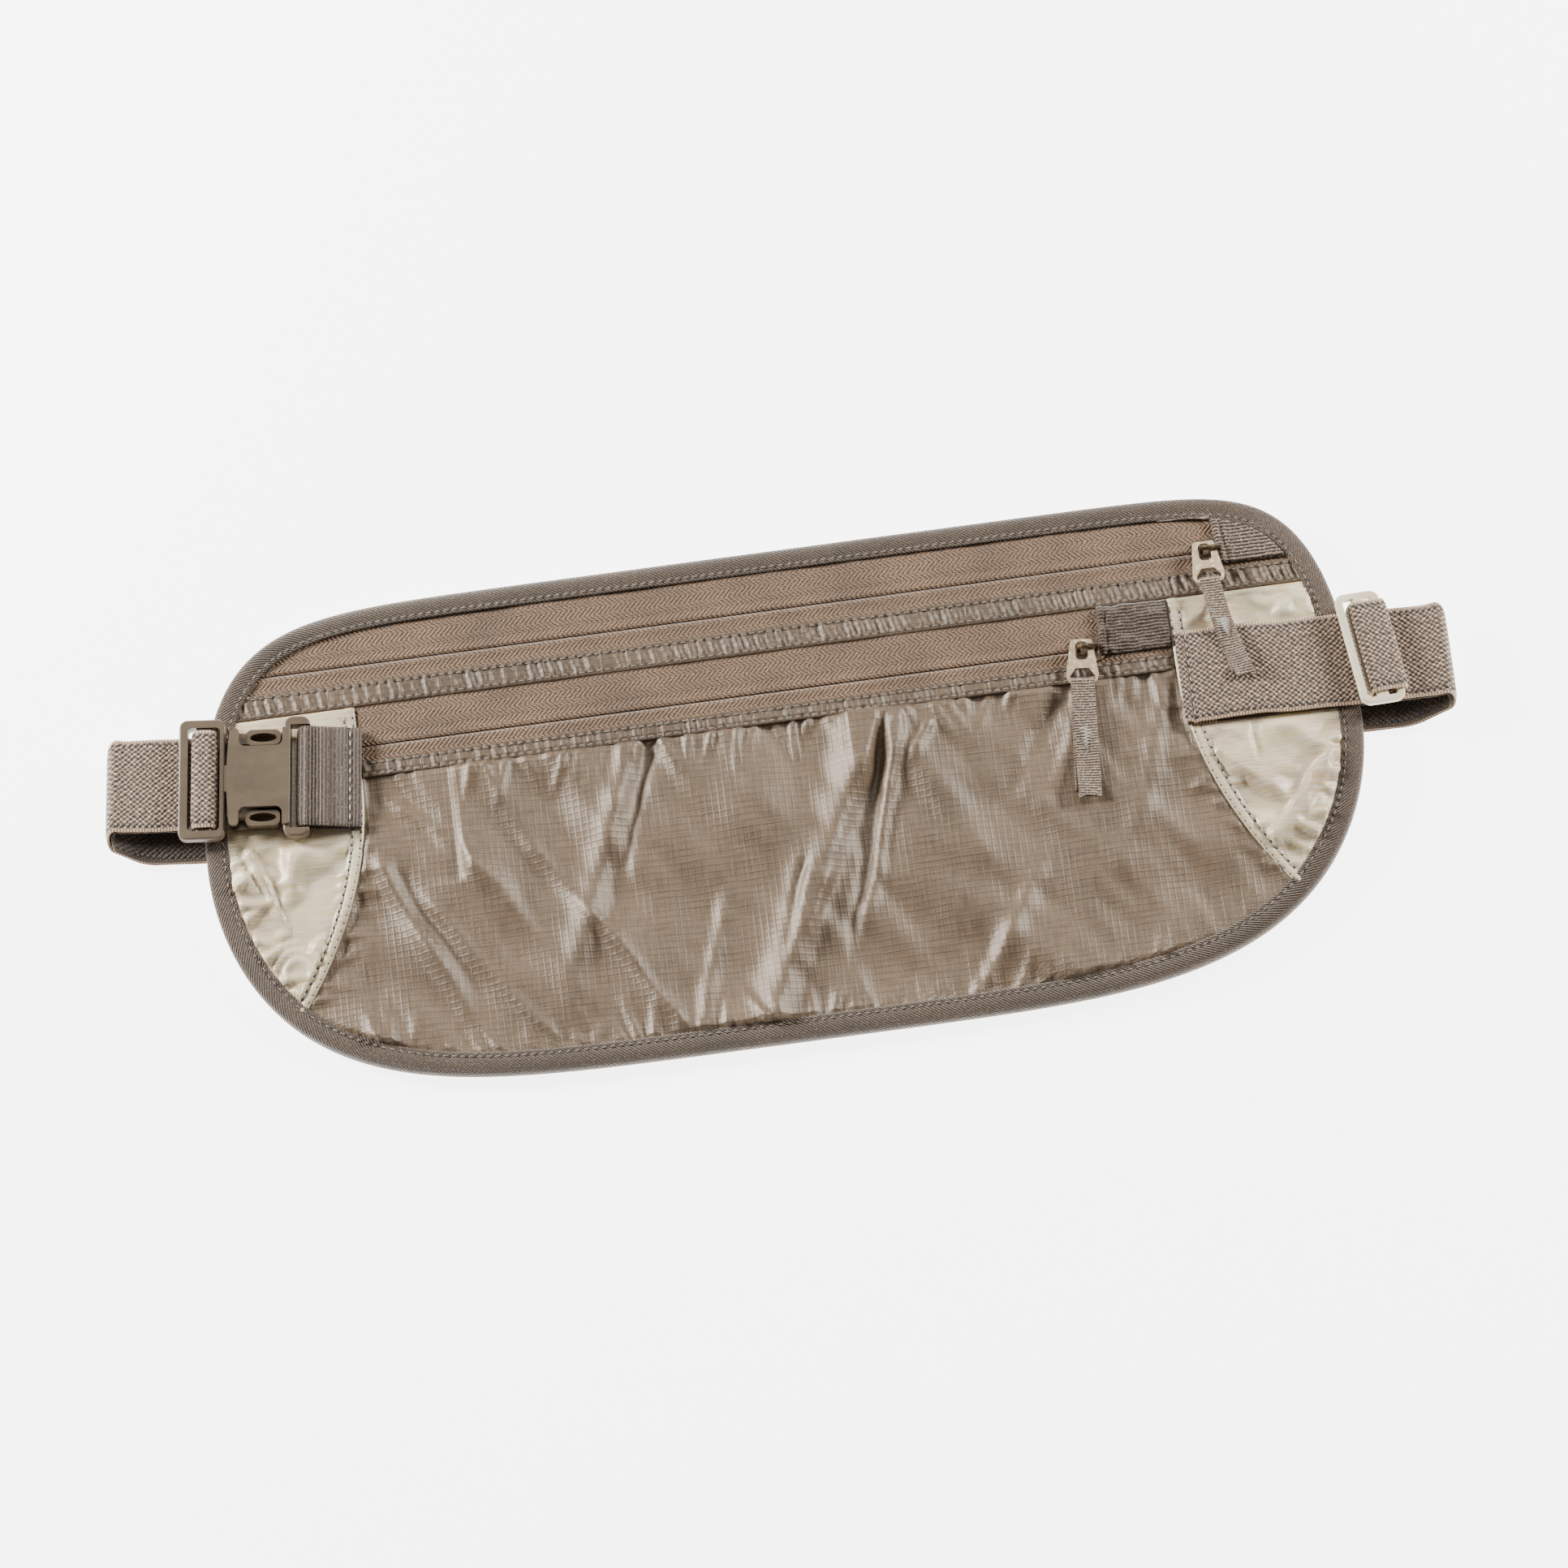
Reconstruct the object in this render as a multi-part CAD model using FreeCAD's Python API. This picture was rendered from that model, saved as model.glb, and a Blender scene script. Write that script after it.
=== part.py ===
"""A money belt lying flat with its front up and its elastic waist strap folded behind it.

+X runs along the belt, +Y points to the zipped edge and +Z out of the front. Lengths are millimetres.
"""
import FreeCAD, Part
import math
import os

V = FreeCAD.Vector

# Pouch outline: each corner is a superellipse quarter |x/a|^p + |y/b|^q = 1, given as (p, q).
POUCH_LENGTH = 299.0
POUCH_HEIGHT = 133.0
TOP_LEFT = (9.0, 2.5)
TOP_RIGHT = (12.0, 2.5)
BOTTOM_LEFT = (5.0, 1.95)
BOTTOM_RIGHT = (4.5, 1.9)
OUTLINE_POINTS = 88

# Layers of the pouch, as (low, high).
BACK_Z = (3.2, 3.5)
DIVIDER_Z = (3.6, 3.75)
COIL_Z = (4.6, 5.45)
FRONT_Z = (5.55, 5.85)
TRIM_Z = (5.95, 6.25)
GARAGE_Z = (6.7, 7.15)
PANEL_INSET = 1.0
DIVIDER_TOP = 41.0

# Binding: a tape folded over the edge of the pouch.
BINDING_WIDTH = 6.0
BINDING_Z = (2.8, 6.8)
BINDING_WALL = 0.6
BINDING_BACK = 0.3
BINDING_FRONT = 0.45

# Seams of the left (-1) and right (1) wing as (seam, curve, top): a seam is seam + curve * (top - y)^2
# away from the middle below its top, and straight above it.
SEAMS = {-1: (107.5, 0.0062, 16.0), 1: (104.2, 0.0062, 17.0)}
SEAM_BOTTOM = -80.0
SEAM_LAP = 3.0

# Bands of the front, as (low y, high y), and the two zipper lines.
PLACKET = (38.3, 45.2)
HEM = (18.6, 23.4)
PANEL_TOP = 21.9
UPPER_LINE = 49.8
LOWER_LINE = 27.2
TAPE_LAP = 4.0
TAPE_GAP = 0.6
COIL_WIDTH = 2.0
UPPER_COIL = (-134.0, 133.0)
LOWER_COIL = (-104.0, 103.0)
STOP_LENGTH = 1.6

# Zipper sliders and their pulls.
UPPER_SLIDER_X = 117.5
LOWER_SLIDER_X = 82.3
SLIDER_LENGTH = 9.0
SLIDER_WIDTH = 7.0
SLIDER_TOP_Z = (6.0, 6.6)
SLIDER_BOTTOM_Z = (3.95, 4.45)
BRIDGE_Z = 9.3
BRIDGE_R = 0.6
BRIDGE_LEG_X = 2.3
BRIDGE_LEG_HALF = (0.45, 0.4)
SLIDER_CORNER = 2.2
SLIDER_RIM = 0.2
LOWER_PLATE_HALF = (4.2, 3.45)
LOWER_PLATE_CORNER = 1.8
FLANGE_HALF = 2.3
FLANGE_Y = (2.8, 3.4)
WEDGE_X = (1.4, 3.4)
WEDGE_HALF = 0.35
SLIDER_JOIN = 0.2
TAB_THICKNESS = 0.6
TAB_DROP = 0.95
TAB_SHIFT = -1.6
TAB_BEYOND = 2.3
TAB_REACH = 9.7
TAB_BAR = 9.2
TAB_HALF_WIDTHS = (2.75, 4.2, 3.6)
TAB_WIDEST = -7.6
TAB_CORNER = 0.9
TAB_EYE = ((-1.6, 1.6), (-3.4, 1.65))
TAB_EYE_CORNER = 1.2
TAB_SLOT = ((3.2, -8.7), (3.2, -7.7), (1.7, -5.7))
TAB_SLOT_CORNER = 0.2
RIBBON_WIDTH = 6.3
RIBBON_THICKNESS = 0.9
RIBBON_LOOP = (0.7, 1.05)
# How each pull lies: turned about z, its tab and ribbon lifted, and the ribbon's length, in degrees
# and millimetres.
UPPER_PULL = {"turn": 1.0, "tab_lift": 8.0, "ribbon_lift": 4.5, "ribbon": 27.5}
LOWER_PULL = {"turn": -5.7, "tab_lift": 0.0, "ribbon_lift": 0.0, "ribbon": 31.5}
GARAGE_GAP = 3.2
UPPER_GARAGE = (45.9, 60.0)
UPPER_GARAGE_END = 137.0
LOWER_GARAGE = (25.2, 37.4)
LOWER_GARAGE_END = 104.0

# Elastic strap: doubled behind the pouch, in a local frame along the back run.
STRAP_WIDTH = 25.0
STRAP_THICKNESS = 1.2
LAYER_STEP = 1.3
BACK_RUN_Z = 0.6
BACK_RUN_Y = 12.95
BACK_RUN_TURN = -1.39
BACK_RUN_END = -120.0
ANCHOR_X = 104.0
ANCHOR_Z = 7.6
ANCHOR_HEM = 8.0
ANCHOR_HEM_THICKNESS = 0.6
ANCHOR_SEAM_GAP = 0.3
RIGHT_RUN_END = 168.6
RIGHT_RISE = (14.0, 12.0)
RIGHT_SHIFT = 5.4
INNER_START = 152.6
LOOP_CURL_R = 2.1
LOOP_SLOPE = 18.0
LOOP_BEND_R = 22.0

# Side release buckle, in a local frame with its origin in the middle of the female mouth.
BUCKLE_X = -141.5
BUCKLE_Y = 21.8
BUCKLE_TURN = -6.0
BUCKLE_MID_Z = 9.2
FEMALE_Z = (6.9, 11.8)
FEMALE_CAVITY = (7.75, 10.7)
FEMALE_HALF = 13.2
FEMALE_MOUTH = (0.6, -0.2)
FEMALE_EAR_R = 1.0
FEMALE_BODY_END = 14.4
NOTCH_X = (2.9, 14.2)
NOTCH_Y = 8.3
NOTCH_CORNER = 1.7
RAIL_X = (0.8, 14.9)
RAIL_Y = (4.6, 5.4)
END_FRAME_Z = (7.4, 11.0)
END_FRAME_CORNER = 2.4
END_FRAME_RIM = 0.6
END_SLOT_X = 16.2
END_ROOT_ROUNDING = (0.6, 0.3)
FRAME_HALF = 16.4
OUTER_BAR_X = 20.0
OUTER_BAR_R = 1.1
MALE_Z = (7.8, 10.6)
MALE_LEFT = -12.8
MALE_RIGHT = -0.7
MALE_WINDOW = (-10.4, -2.1)
MALE_WINDOW_HALF = 14.1
MALE_CORNERS = (2.2, 1.2)
TONGUE_END = 12.0
TONGUE_HALF = 3.8
TONGUE_ROUNDING = (1.2, 0.4)
FRAME_JOIN = 0.7
ROLL_BAR_X = -6.25
ROLL_BAR = (4.4, 1.8)
PRONG_Z = (7.9, 10.5)
ROLL_WIDTH = 26.6
ROLL_BEND_R = 0.9
ROLL_LEAD = 0.2
ROLL_TAIL = 0.5
INNER_LEAD = 0.6
PRONG_PIVOT = (0.8, 10.0)
PRONG_ARM = (5.5, 0.8)
PRONG_ROOT_R = 0.9
PAD_X = (4.6, 13.6)
PAD_Y = (8.9, 13.1)
PAD_CORNER = 1.6
PAD_EYE = (9.1, 10.9)
PAD_EYE_HALF = (3.5, 1.2)
LEFT_TOP_Z = 7.0
LEFT_RUN_END = -27.0
LEFT_RISE = (12.0, 10.0)
LEFT_SHIFT = 7.0
LEFT_BACK_END = 20.0
TAB_END_X = -107.5
TAB_LAYERS = (7.9, 6.85)
TAB_STRAP_THICKNESS = 1.0
TAB_STRAP_WIDTH = 27.0

# Sliding adjuster of the strap, a three bar frame.
ADJUSTER_X = 153.8
ADJUSTER_SIZE = (12.0, 31.0, 1.9)
ADJUSTER_BAR = 1.75
ADJUSTER_CORNERS = (2.6, 1.3)
ADJUSTER_RIM = 0.6
ADJUSTER_CENTRE_BAR = 3.4
ADJUSTER_Z = 10.6
ADJUSTER_TILT = 12.0
ADJUSTER_LEAN = 5.7
ADJUSTER_RISE_Y = 1.2
WRAP_FOOT_Z = 8.35
WRAP_LEG = 5.0

FIT_GAP = 0.1
# A bar's edges are rounded by this much less than half its thickness.
NEAR_ROUND = 0.01


def corner_of(x, y):
    """The exponents of the corner that a direction points to."""
    if y >= 0:
        return TOP_RIGHT if x >= 0 else TOP_LEFT
    return BOTTOM_RIGHT if x >= 0 else BOTTOM_LEFT


def outline_point(turn, inset):
    """The outline's point in one direction, moved in along its normal."""
    across, up = math.cos(turn), math.sin(turn)
    p, q = corner_of(across, up)
    low, high = 0.9, 1.5
    for _ in range(50):
        reach = (low + high) / 2
        if abs(reach * across) ** p + abs(reach * up) ** q < 1:
            low = reach
        else:
            high = reach
    x, y = reach * across, reach * up
    slope_x = math.copysign(p * abs(x) ** (p - 1), x) / (POUCH_LENGTH / 2)
    slope_y = math.copysign(q * abs(y) ** (q - 1), y) / (POUCH_HEIGHT / 2)
    steep = math.hypot(slope_x, slope_y)
    in_x, in_y = inset * slope_x / steep, inset * slope_y / steep
    return V(x * POUCH_LENGTH / 2 - in_x, y * POUCH_HEIGHT / 2 - in_y, 0)


def plate(inset, low, high):
    """A plate with the pouch's outline, smaller by inset all round."""
    turns = [2 * math.pi * i / OUTLINE_POINTS for i in range(OUTLINE_POINTS)]
    curve = Part.BSplineCurve()
    curve.interpolate(Points=[outline_point(turn, inset) for turn in turns], PeriodicFlag=True)
    face = Part.Face(Part.Wire(curve.toShape()))
    face.translate(V(0, 0, low))
    return face.extrude(V(0, 0, high - low))


def block(x_range, y_range, z_range):
    """A box from three (low, high) pairs."""
    size = [high - low for low, high in (x_range, y_range, z_range)]
    return Part.makeBox(*size, V(x_range[0], y_range[0], z_range[0]))


def prism(points, low, high):
    """A polygon in the XY plane, extruded in z."""
    corners = [V(x, y, low) for x, y in points]
    return Part.Face(Part.makePolygon(corners + corners[:1])).extrude(V(0, 0, high - low))


def oval(centre, half, z_range):
    """An elliptic cylinder along z, longer in x than in y."""
    face = Part.Face(Part.Wire(Part.Ellipse(V(0, 0, 0), *half).toShape()))
    face.translate(V(centre[0], centre[1], z_range[0]))
    return face.extrude(V(0, 0, z_range[1] - z_range[0]))


def rounded_edges(shape, radius, wanted):
    """The shape with a fillet on each edge that wanted(edge) picks."""
    return shape.makeFillet(radius, [edge for edge in shape.Edges if wanted(edge)])


def upright(edge):
    """True for a straight edge along z."""
    first, last = edge.Vertexes[0].Point, edge.Vertexes[-1].Point
    return abs(first.z - last.z) > 1e-6 and math.hypot(first.x - last.x, first.y - last.y) < 1e-6


def level(edge):
    """True for an edge that stays at one height."""
    return edge.BoundBox.ZLength < 1e-6


def rounded_block(x_range, y_range, z_range, corner, rim):
    """A box with rounded corners and softly rounded top and bottom rims."""
    shape = rounded_edges(block(x_range, y_range, z_range), corner, upright)
    return rounded_edges(shape, rim, level) if rim else shape


def side_of_route(start, heading, moves, offset):
    """The edges of a line that keeps a fixed distance to the left of a route in the XZ plane.

    A move is (length,) for a straight run, or (radius, degrees) for a bend, left turns positive.
    """
    here = V(start[0], 0, start[1])
    angle = math.radians(heading)

    def left(place, direction, distance):
        return place + V(-math.sin(direction), 0, math.cos(direction)) * distance

    edges = []
    for move in moves:
        before = left(here, angle, offset)
        if len(move) == 1:
            here = here + V(math.cos(angle), 0, math.sin(angle)) * move[0]
            edges.append(Part.makeLine(before, left(here, angle, offset)))
            continue
        turn = math.radians(move[1])
        reach = math.copysign(move[0], turn)
        centre = left(here, angle, reach)
        middle = left(centre, angle + turn / 2, offset - reach)
        after = left(centre, angle + turn, offset - reach)
        edges.append(Part.Arc(before, middle, after).toShape())
        here, angle = left(centre, angle + turn, -reach), angle + turn
    return edges


def webbing(start, heading, moves, thickness, width, layer=0.0):
    """A flat strap that follows a route in the XZ plane, centred on y = 0."""
    one = side_of_route(start, heading, moves, layer + thickness / 2)
    other = side_of_route(start, heading, moves, layer - thickness / 2)
    caps = [
        Part.makeLine(one[0].Vertexes[0].Point, other[0].Vertexes[0].Point),
        Part.makeLine(one[-1].Vertexes[-1].Point, other[-1].Vertexes[-1].Point),
    ]
    wire = Part.Wire(Part.__sortEdges__(one + other + caps))
    face = Part.Face(wire)
    face.translate(V(0, -width / 2, 0))
    return face.extrude(V(0, width, 0))


def slanted(shape, lean, level_z):
    """The part of a wide strap between two slanted sides that cross level_z at half a strap width."""
    low, high, half = -5.0, 25.0, STRAP_WIDTH / 2
    corners = []
    for z, side in ((low, -half), (low, half), (high, half), (high, -half)):
        corners.append(V(-400, side + lean * (z - level_z), z))
    slab = Part.Face(Part.makePolygon(corners + corners[:1])).extrude(V(800, 0, 0))
    return shape.common(slab)


def placed(shape, turn, x, y):
    """A copy of a shape, turned about z and moved."""
    copy = shape.copy()
    copy.rotate(V(0, 0, 0), V(0, 0, 1), turn)
    copy.translate(V(x, y, 0))
    return copy


def between_seams(spread, top):
    """Everything between the two wing seams, each moved out by spread."""
    edges, near_x, far_x = [], [], []
    for side, (seam, curve, start_y) in sorted(SEAMS.items()):
        near = side * (seam + spread)
        far = near + side * curve * (start_y - SEAM_BOTTOM) ** 2
        bend = Part.BezierCurve()
        middle = V(near, (start_y + SEAM_BOTTOM) / 2, 0)
        bend.setPoles([V(near, start_y, 0), middle, V(far, SEAM_BOTTOM, 0)])
        edges.append(bend.toShape())
        edges.append(Part.makeLine(V(near, start_y, 0), V(near, top, 0)))
        near_x.append(near)
        far_x.append(far)
    edges.append(Part.makeLine(*(V(x, SEAM_BOTTOM, 0) for x in far_x)))
    edges.append(Part.makeLine(*(V(x, top, 0) for x in near_x)))
    return Part.Face(Part.Wire(Part.__sortEdges__(edges))).extrude(V(0, 0, 20))


def layer_band(z_range, low, high, x_range=(-200, 200)):
    """A layer of the pouch between two heights on the front."""
    return plate(PANEL_INSET, *z_range).common(block(x_range, (low, high), (0, 20)))


def pouch():
    """The sewn panels and tapes of the pouch."""
    middle = (FIT_GAP - SEAMS[-1][0], SEAMS[1][0] - FIT_GAP)
    far = 200
    front = layer_band(FRONT_Z, -far, PANEL_TOP).common(between_seams(SEAM_LAP, 60))
    wings = layer_band(TRIM_Z, -far, PLACKET[0] - FIT_GAP).cut(between_seams(0, 60))
    wing_solids = sorted(wings.Solids, key=lambda solid: solid.CenterOfMass.x)
    skin = plate(0, *BINDING_Z)
    groove_z = (BINDING_Z[0] + BINDING_BACK, BINDING_Z[1] - BINDING_FRONT)
    binding = skin.cut(plate(BINDING_WALL, *groove_z)).cut(plate(BINDING_WIDTH, 0, 20))
    return {
        "back_panel": plate(PANEL_INSET, *BACK_Z),
        "pocket_divider": layer_band(DIVIDER_Z, -far, DIVIDER_TOP),
        "front_panel": front,
        "wing_left": wing_solids[0],
        "wing_right": wing_solids[-1],
        "edge_binding": binding,
        "placket_middle": layer_band(TRIM_Z, *PLACKET),
        "front_pocket_hem": layer_band(TRIM_Z, *HEM, middle),
        "zip_upper_tape_top": layer_band(FRONT_Z, UPPER_LINE + TAPE_GAP, far),
        "zip_upper_tape_bottom": layer_band(
            FRONT_Z, PLACKET[1] - TAPE_LAP + FIT_GAP, UPPER_LINE - TAPE_GAP
        ),
        "zip_lower_tape_top": layer_band(
            FRONT_Z, LOWER_LINE + TAPE_GAP, PLACKET[1] - TAPE_LAP, middle
        ),
        "zip_lower_tape_bottom": layer_band(
            FRONT_Z, PANEL_TOP + FIT_GAP, LOWER_LINE - TAPE_GAP, middle
        ),
    }


def zipper(name, line, ends):
    """The two coils of a zipper, sewn under its tapes, and the stops at its ends."""
    near, far = TAPE_GAP, TAPE_GAP + COIL_WIDTH
    stops = []
    for x_range in ((ends[0] - STOP_LENGTH - FIT_GAP, ends[0] - FIT_GAP),
                    (ends[1] + FIT_GAP, ends[1] + STOP_LENGTH + FIT_GAP)):
        stops.append(block(x_range, (line - far, line + far), COIL_Z))
    return {
        f"zip_{name}_coil_top": block(ends, (line + near, line + far), COIL_Z),
        f"zip_{name}_coil_bottom": block(ends, (line - far, line - near), COIL_Z),
        f"zip_{name}_stops": Part.makeCompound(stops),
    }


def slider_body(x, line):
    """A zipper slider: two plates round the coils, joined by a post, with a bridge for the pull."""
    half_length, half_width = SLIDER_LENGTH / 2, SLIDER_WIDTH / 2
    lower_x, lower_y = LOWER_PLATE_HALF
    body = rounded_block((-half_length, half_length), (-half_width, half_width), SLIDER_TOP_Z,
                         SLIDER_CORNER, SLIDER_RIM)
    body = body.fuse(rounded_block((-lower_x, lower_x), (-lower_y, lower_y), SLIDER_BOTTOM_Z,
                                   LOWER_PLATE_CORNER, 0))
    inside_low, inside_high = SLIDER_BOTTOM_Z[0] + SLIDER_JOIN, SLIDER_TOP_Z[1] - SLIDER_JOIN
    leg_x, leg_y = BRIDGE_LEG_HALF
    for side in (-1, 1):
        flange = sorted((side * FLANGE_Y[0], side * FLANGE_Y[1]))
        body = body.fuse(block((-FLANGE_HALF, FLANGE_HALF), flange, (inside_low, COIL_Z[1])))
        leg = sorted((side * (BRIDGE_LEG_X - leg_x), side * (BRIDGE_LEG_X + leg_x)))
        body = body.fuse(block(leg, (-leg_y, leg_y), (SLIDER_TOP_Z[0] + SLIDER_JOIN, BRIDGE_Z)))
    body = body.fuse(block(WEDGE_X, (-WEDGE_HALF, WEDGE_HALF), (inside_low, inside_high)))
    bar_half = BRIDGE_LEG_X + leg_x
    bar = Part.makeCylinder(BRIDGE_R, 2 * bar_half, V(-bar_half, 0, BRIDGE_Z), V(1, 0, 0))
    return placed(body.fuse(bar).removeSplitter(), 0, x, line)


def both_sides(half_outline):
    """A polygon's corners from those on its +X side, listed along the outline."""
    return half_outline + [(-x, y) for x, y in reversed(half_outline)]


def pull_tab():
    """The flat tab, hanging from the bridge: the bridge's axis is y = 0, z = 0 here."""
    low, high = -TAB_DROP - TAB_THICKNESS / 2, -TAB_DROP + TAB_THICKNESS / 2
    top, widest, foot = TAB_HALF_WIDTHS
    outline = both_sides([(top, TAB_BEYOND), (widest, TAB_WIDEST), (foot, -TAB_REACH)])
    tab = rounded_edges(prism(outline, low, high), TAB_CORNER, upright)
    eye = rounded_block(*TAB_EYE, (low - 1, high + 1), TAB_EYE_CORNER, 0)
    slot = rounded_edges(prism(both_sides(list(TAB_SLOT)), low - 1, high + 1), TAB_SLOT_CORNER, upright)
    return tab.cut(eye).cut(slot)


def pull_ribbon(length):
    """A doubled ribbon looped on the tab's lower bar, whose axis is y = 0, z = 0 here."""
    half = RIBBON_WIDTH / 2
    inner, outer = RIBBON_LOOP
    loop = Part.makeCylinder(outer, RIBBON_WIDTH, V(-half, 0, 0), V(1, 0, 0))
    strip = block((-half, half), (-length, -(inner + outer) / 2),
                  (-RIBBON_THICKNESS / 2, RIBBON_THICKNESS / 2))
    bore = Part.makeCylinder(inner, RIBBON_WIDTH + 2, V(-half - 1, 0, 0), V(1, 0, 0))
    return loop.fuse(strip).cut(bore)


def hung(shape, x, line, lift, turn):
    """Hangs a shape on the bridge of the slider at x, lifted about the bridge and turned about z."""
    copy = shape.copy()
    copy.rotate(V(0, 0, 0), V(1, 0, 0), -lift)
    copy.rotate(V(0, 0, 0), V(0, 0, 1), turn)
    copy.translate(V(x + TAB_SHIFT, line, BRIDGE_Z))
    return copy


def hung_ribbon(x, line, pull):
    """The ribbon on its tab's lower bar, with its own lift."""
    ribbon = pull_ribbon(pull["ribbon"])
    ribbon.rotate(V(0, 0, 0), V(1, 0, 0), pull["tab_lift"] - pull["ribbon_lift"])
    ribbon.translate(V(0, -TAB_BAR, -TAB_DROP))
    return hung(ribbon, x, line, pull["tab_lift"], pull["turn"])


def garages():
    """The two folded tapes that cover the closed ends of the zippers."""
    inside = plate(BINDING_WIDTH + FIT_GAP, *GARAGE_Z)
    upper = block((UPPER_SLIDER_X + GARAGE_GAP, UPPER_GARAGE_END), UPPER_GARAGE, GARAGE_Z)
    lower = block((LOWER_SLIDER_X + GARAGE_GAP, LOWER_GARAGE_END), LOWER_GARAGE, GARAGE_Z)
    return {"garage_upper": upper.common(inside), "garage_lower": lower}


def zippers():
    """Both zippers with their sliders, pulls and garages."""
    shapes = {}
    for name, x, line, ends, pull in (
        ("upper", UPPER_SLIDER_X, UPPER_LINE, UPPER_COIL, UPPER_PULL),
        ("lower", LOWER_SLIDER_X, LOWER_LINE, LOWER_COIL, LOWER_PULL),
    ):
        shapes.update(zipper(name, line, ends))
        shapes[f"zip_{name}_slider"] = slider_body(x, line)
        shapes[f"pull_{name}_tab"] = hung(pull_tab(), x, line, pull["tab_lift"], pull["turn"])
        shapes[f"pull_{name}_ribbon"] = hung_ribbon(x, line, pull)
    shapes.update(garages())
    return shapes


def end_loop(run, rise, drop, side, end_x):
    """The moves of a strap that runs on, turns back in an end loop and runs under itself to end_x.

    The strap rises a little, curls back, slopes down and flattens; side is 1 at the right end of the
    belt and -1 at the left. Distances are measured from where the first run starts.
    """
    radius, turn = rise
    slope_turn, slope = LOOP_SLOPE, math.radians(LOOP_SLOPE)
    tilt = math.radians(turn)
    climb = radius * (1 - math.cos(tilt))
    curl_drop = LOOP_CURL_R * (math.cos(tilt) + math.cos(slope))
    bend_drop = LOOP_BEND_R * (1 - math.cos(slope))
    slope_run = (drop + climb - curl_drop - bend_drop) / math.sin(slope)
    reach = run + radius * math.sin(tilt) + LOOP_CURL_R * (math.sin(tilt) + math.sin(slope))
    flat_from = reach - slope_run * math.cos(slope) - LOOP_BEND_R * math.sin(slope)
    return [
        (run,),
        (radius, side * turn),
        (LOOP_CURL_R, -side * (180 + turn - slope_turn)),
        (slope_run,),
        (LOOP_BEND_R, -side * slope_turn),
        (flat_from - end_x,),
    ]


def right_strap(start_x, layer):
    """One layer of the strap, from start_x round the right end loop and back behind the pouch."""
    drop = ANCHOR_Z - BACK_RUN_Z
    moves = end_loop(RIGHT_RUN_END - start_x, RIGHT_RISE, drop, 1, BACK_RUN_END - start_x)
    wide = webbing((start_x, ANCHOR_Z), 0, moves, STRAP_THICKNESS, 3 * STRAP_WIDTH, layer)
    return slanted(wide, RIGHT_SHIFT / drop, BACK_RUN_Z)


def left_strap(start_x, layer):
    """One layer of the strap, from under the male buckle round the left end loop and back."""
    drop = LEFT_TOP_Z - BACK_RUN_Z
    moves = end_loop(start_x - LEFT_RUN_END, LEFT_RISE, drop, -1, start_x - LEFT_BACK_END)
    wide = webbing((start_x, LEFT_TOP_Z), 180, moves, STRAP_THICKNESS, 3 * STRAP_WIDTH, layer)
    return slanted(wide, LEFT_SHIFT / drop, LEFT_TOP_Z)


def buckle_roll():
    """The strap's turn round the male buckle's centre bar."""
    end_r = ROLL_BAR[1] / 2
    wrap_r = end_r + FIT_GAP + STRAP_THICKNESS / 2
    flat = ROLL_BAR[0] - ROLL_BAR[1]
    riser_x = ROLL_BAR_X - flat / 2 - wrap_r
    start_x = MALE_WINDOW[0] - ROLL_LEAD
    moves = [
        (riser_x - ROLL_BEND_R - start_x,),
        (ROLL_BEND_R, 90),
        (BUCKLE_MID_Z - LEFT_TOP_Z - ROLL_BEND_R,),
        (wrap_r, -90),
        (flat,),
        (wrap_r, -180),
        (flat + ROLL_TAIL,),
    ]
    return webbing((start_x, LEFT_TOP_Z), 0, moves, STRAP_THICKNESS, ROLL_WIDTH)


def folded_hem():
    """The end of the strap, turned under where it is sewn to the wing."""
    low = ANCHOR_Z - STRAP_THICKNESS / 2 - ANCHOR_HEM_THICKNESS
    wide = block((ANCHOR_X, ANCHOR_X + ANCHOR_HEM), (-40, 40), (low, ANCHOR_Z))
    return slanted(wide, RIGHT_SHIFT / (ANCHOR_Z - BACK_RUN_Z), BACK_RUN_Z)


def strap():
    """The elastic strap: two layers fixed to the pouch, and two that follow the male buckle."""
    outer = right_strap(ANCHOR_X, 0).fuse(folded_hem()).removeSplitter()
    beside_seam = between_seams(ANCHOR_SEAM_GAP, PLACKET[0])
    beside_seam.translate(V(0, 0, BINDING_Z[0]))
    inner = right_strap(INNER_START, -LAYER_STEP)
    left_outer = left_strap(MALE_WINDOW[0] - FIT_GAP, 0).fuse(buckle_roll()).removeSplitter()
    left_inner = left_strap(MALE_WINDOW[0] - INNER_LEAD, LAYER_STEP)
    return {
        "strap_outer": placed(outer, BACK_RUN_TURN, 0, BACK_RUN_Y).cut(beside_seam),
        "strap_inner": placed(inner, BACK_RUN_TURN, 0, BACK_RUN_Y),
        "strap_left_outer": placed(left_outer, BUCKLE_TURN, BUCKLE_X, BUCKLE_Y),
        "strap_left_inner": placed(left_inner, BUCKLE_TURN, BUCKLE_X, BUCKLE_Y),
    }


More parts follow.
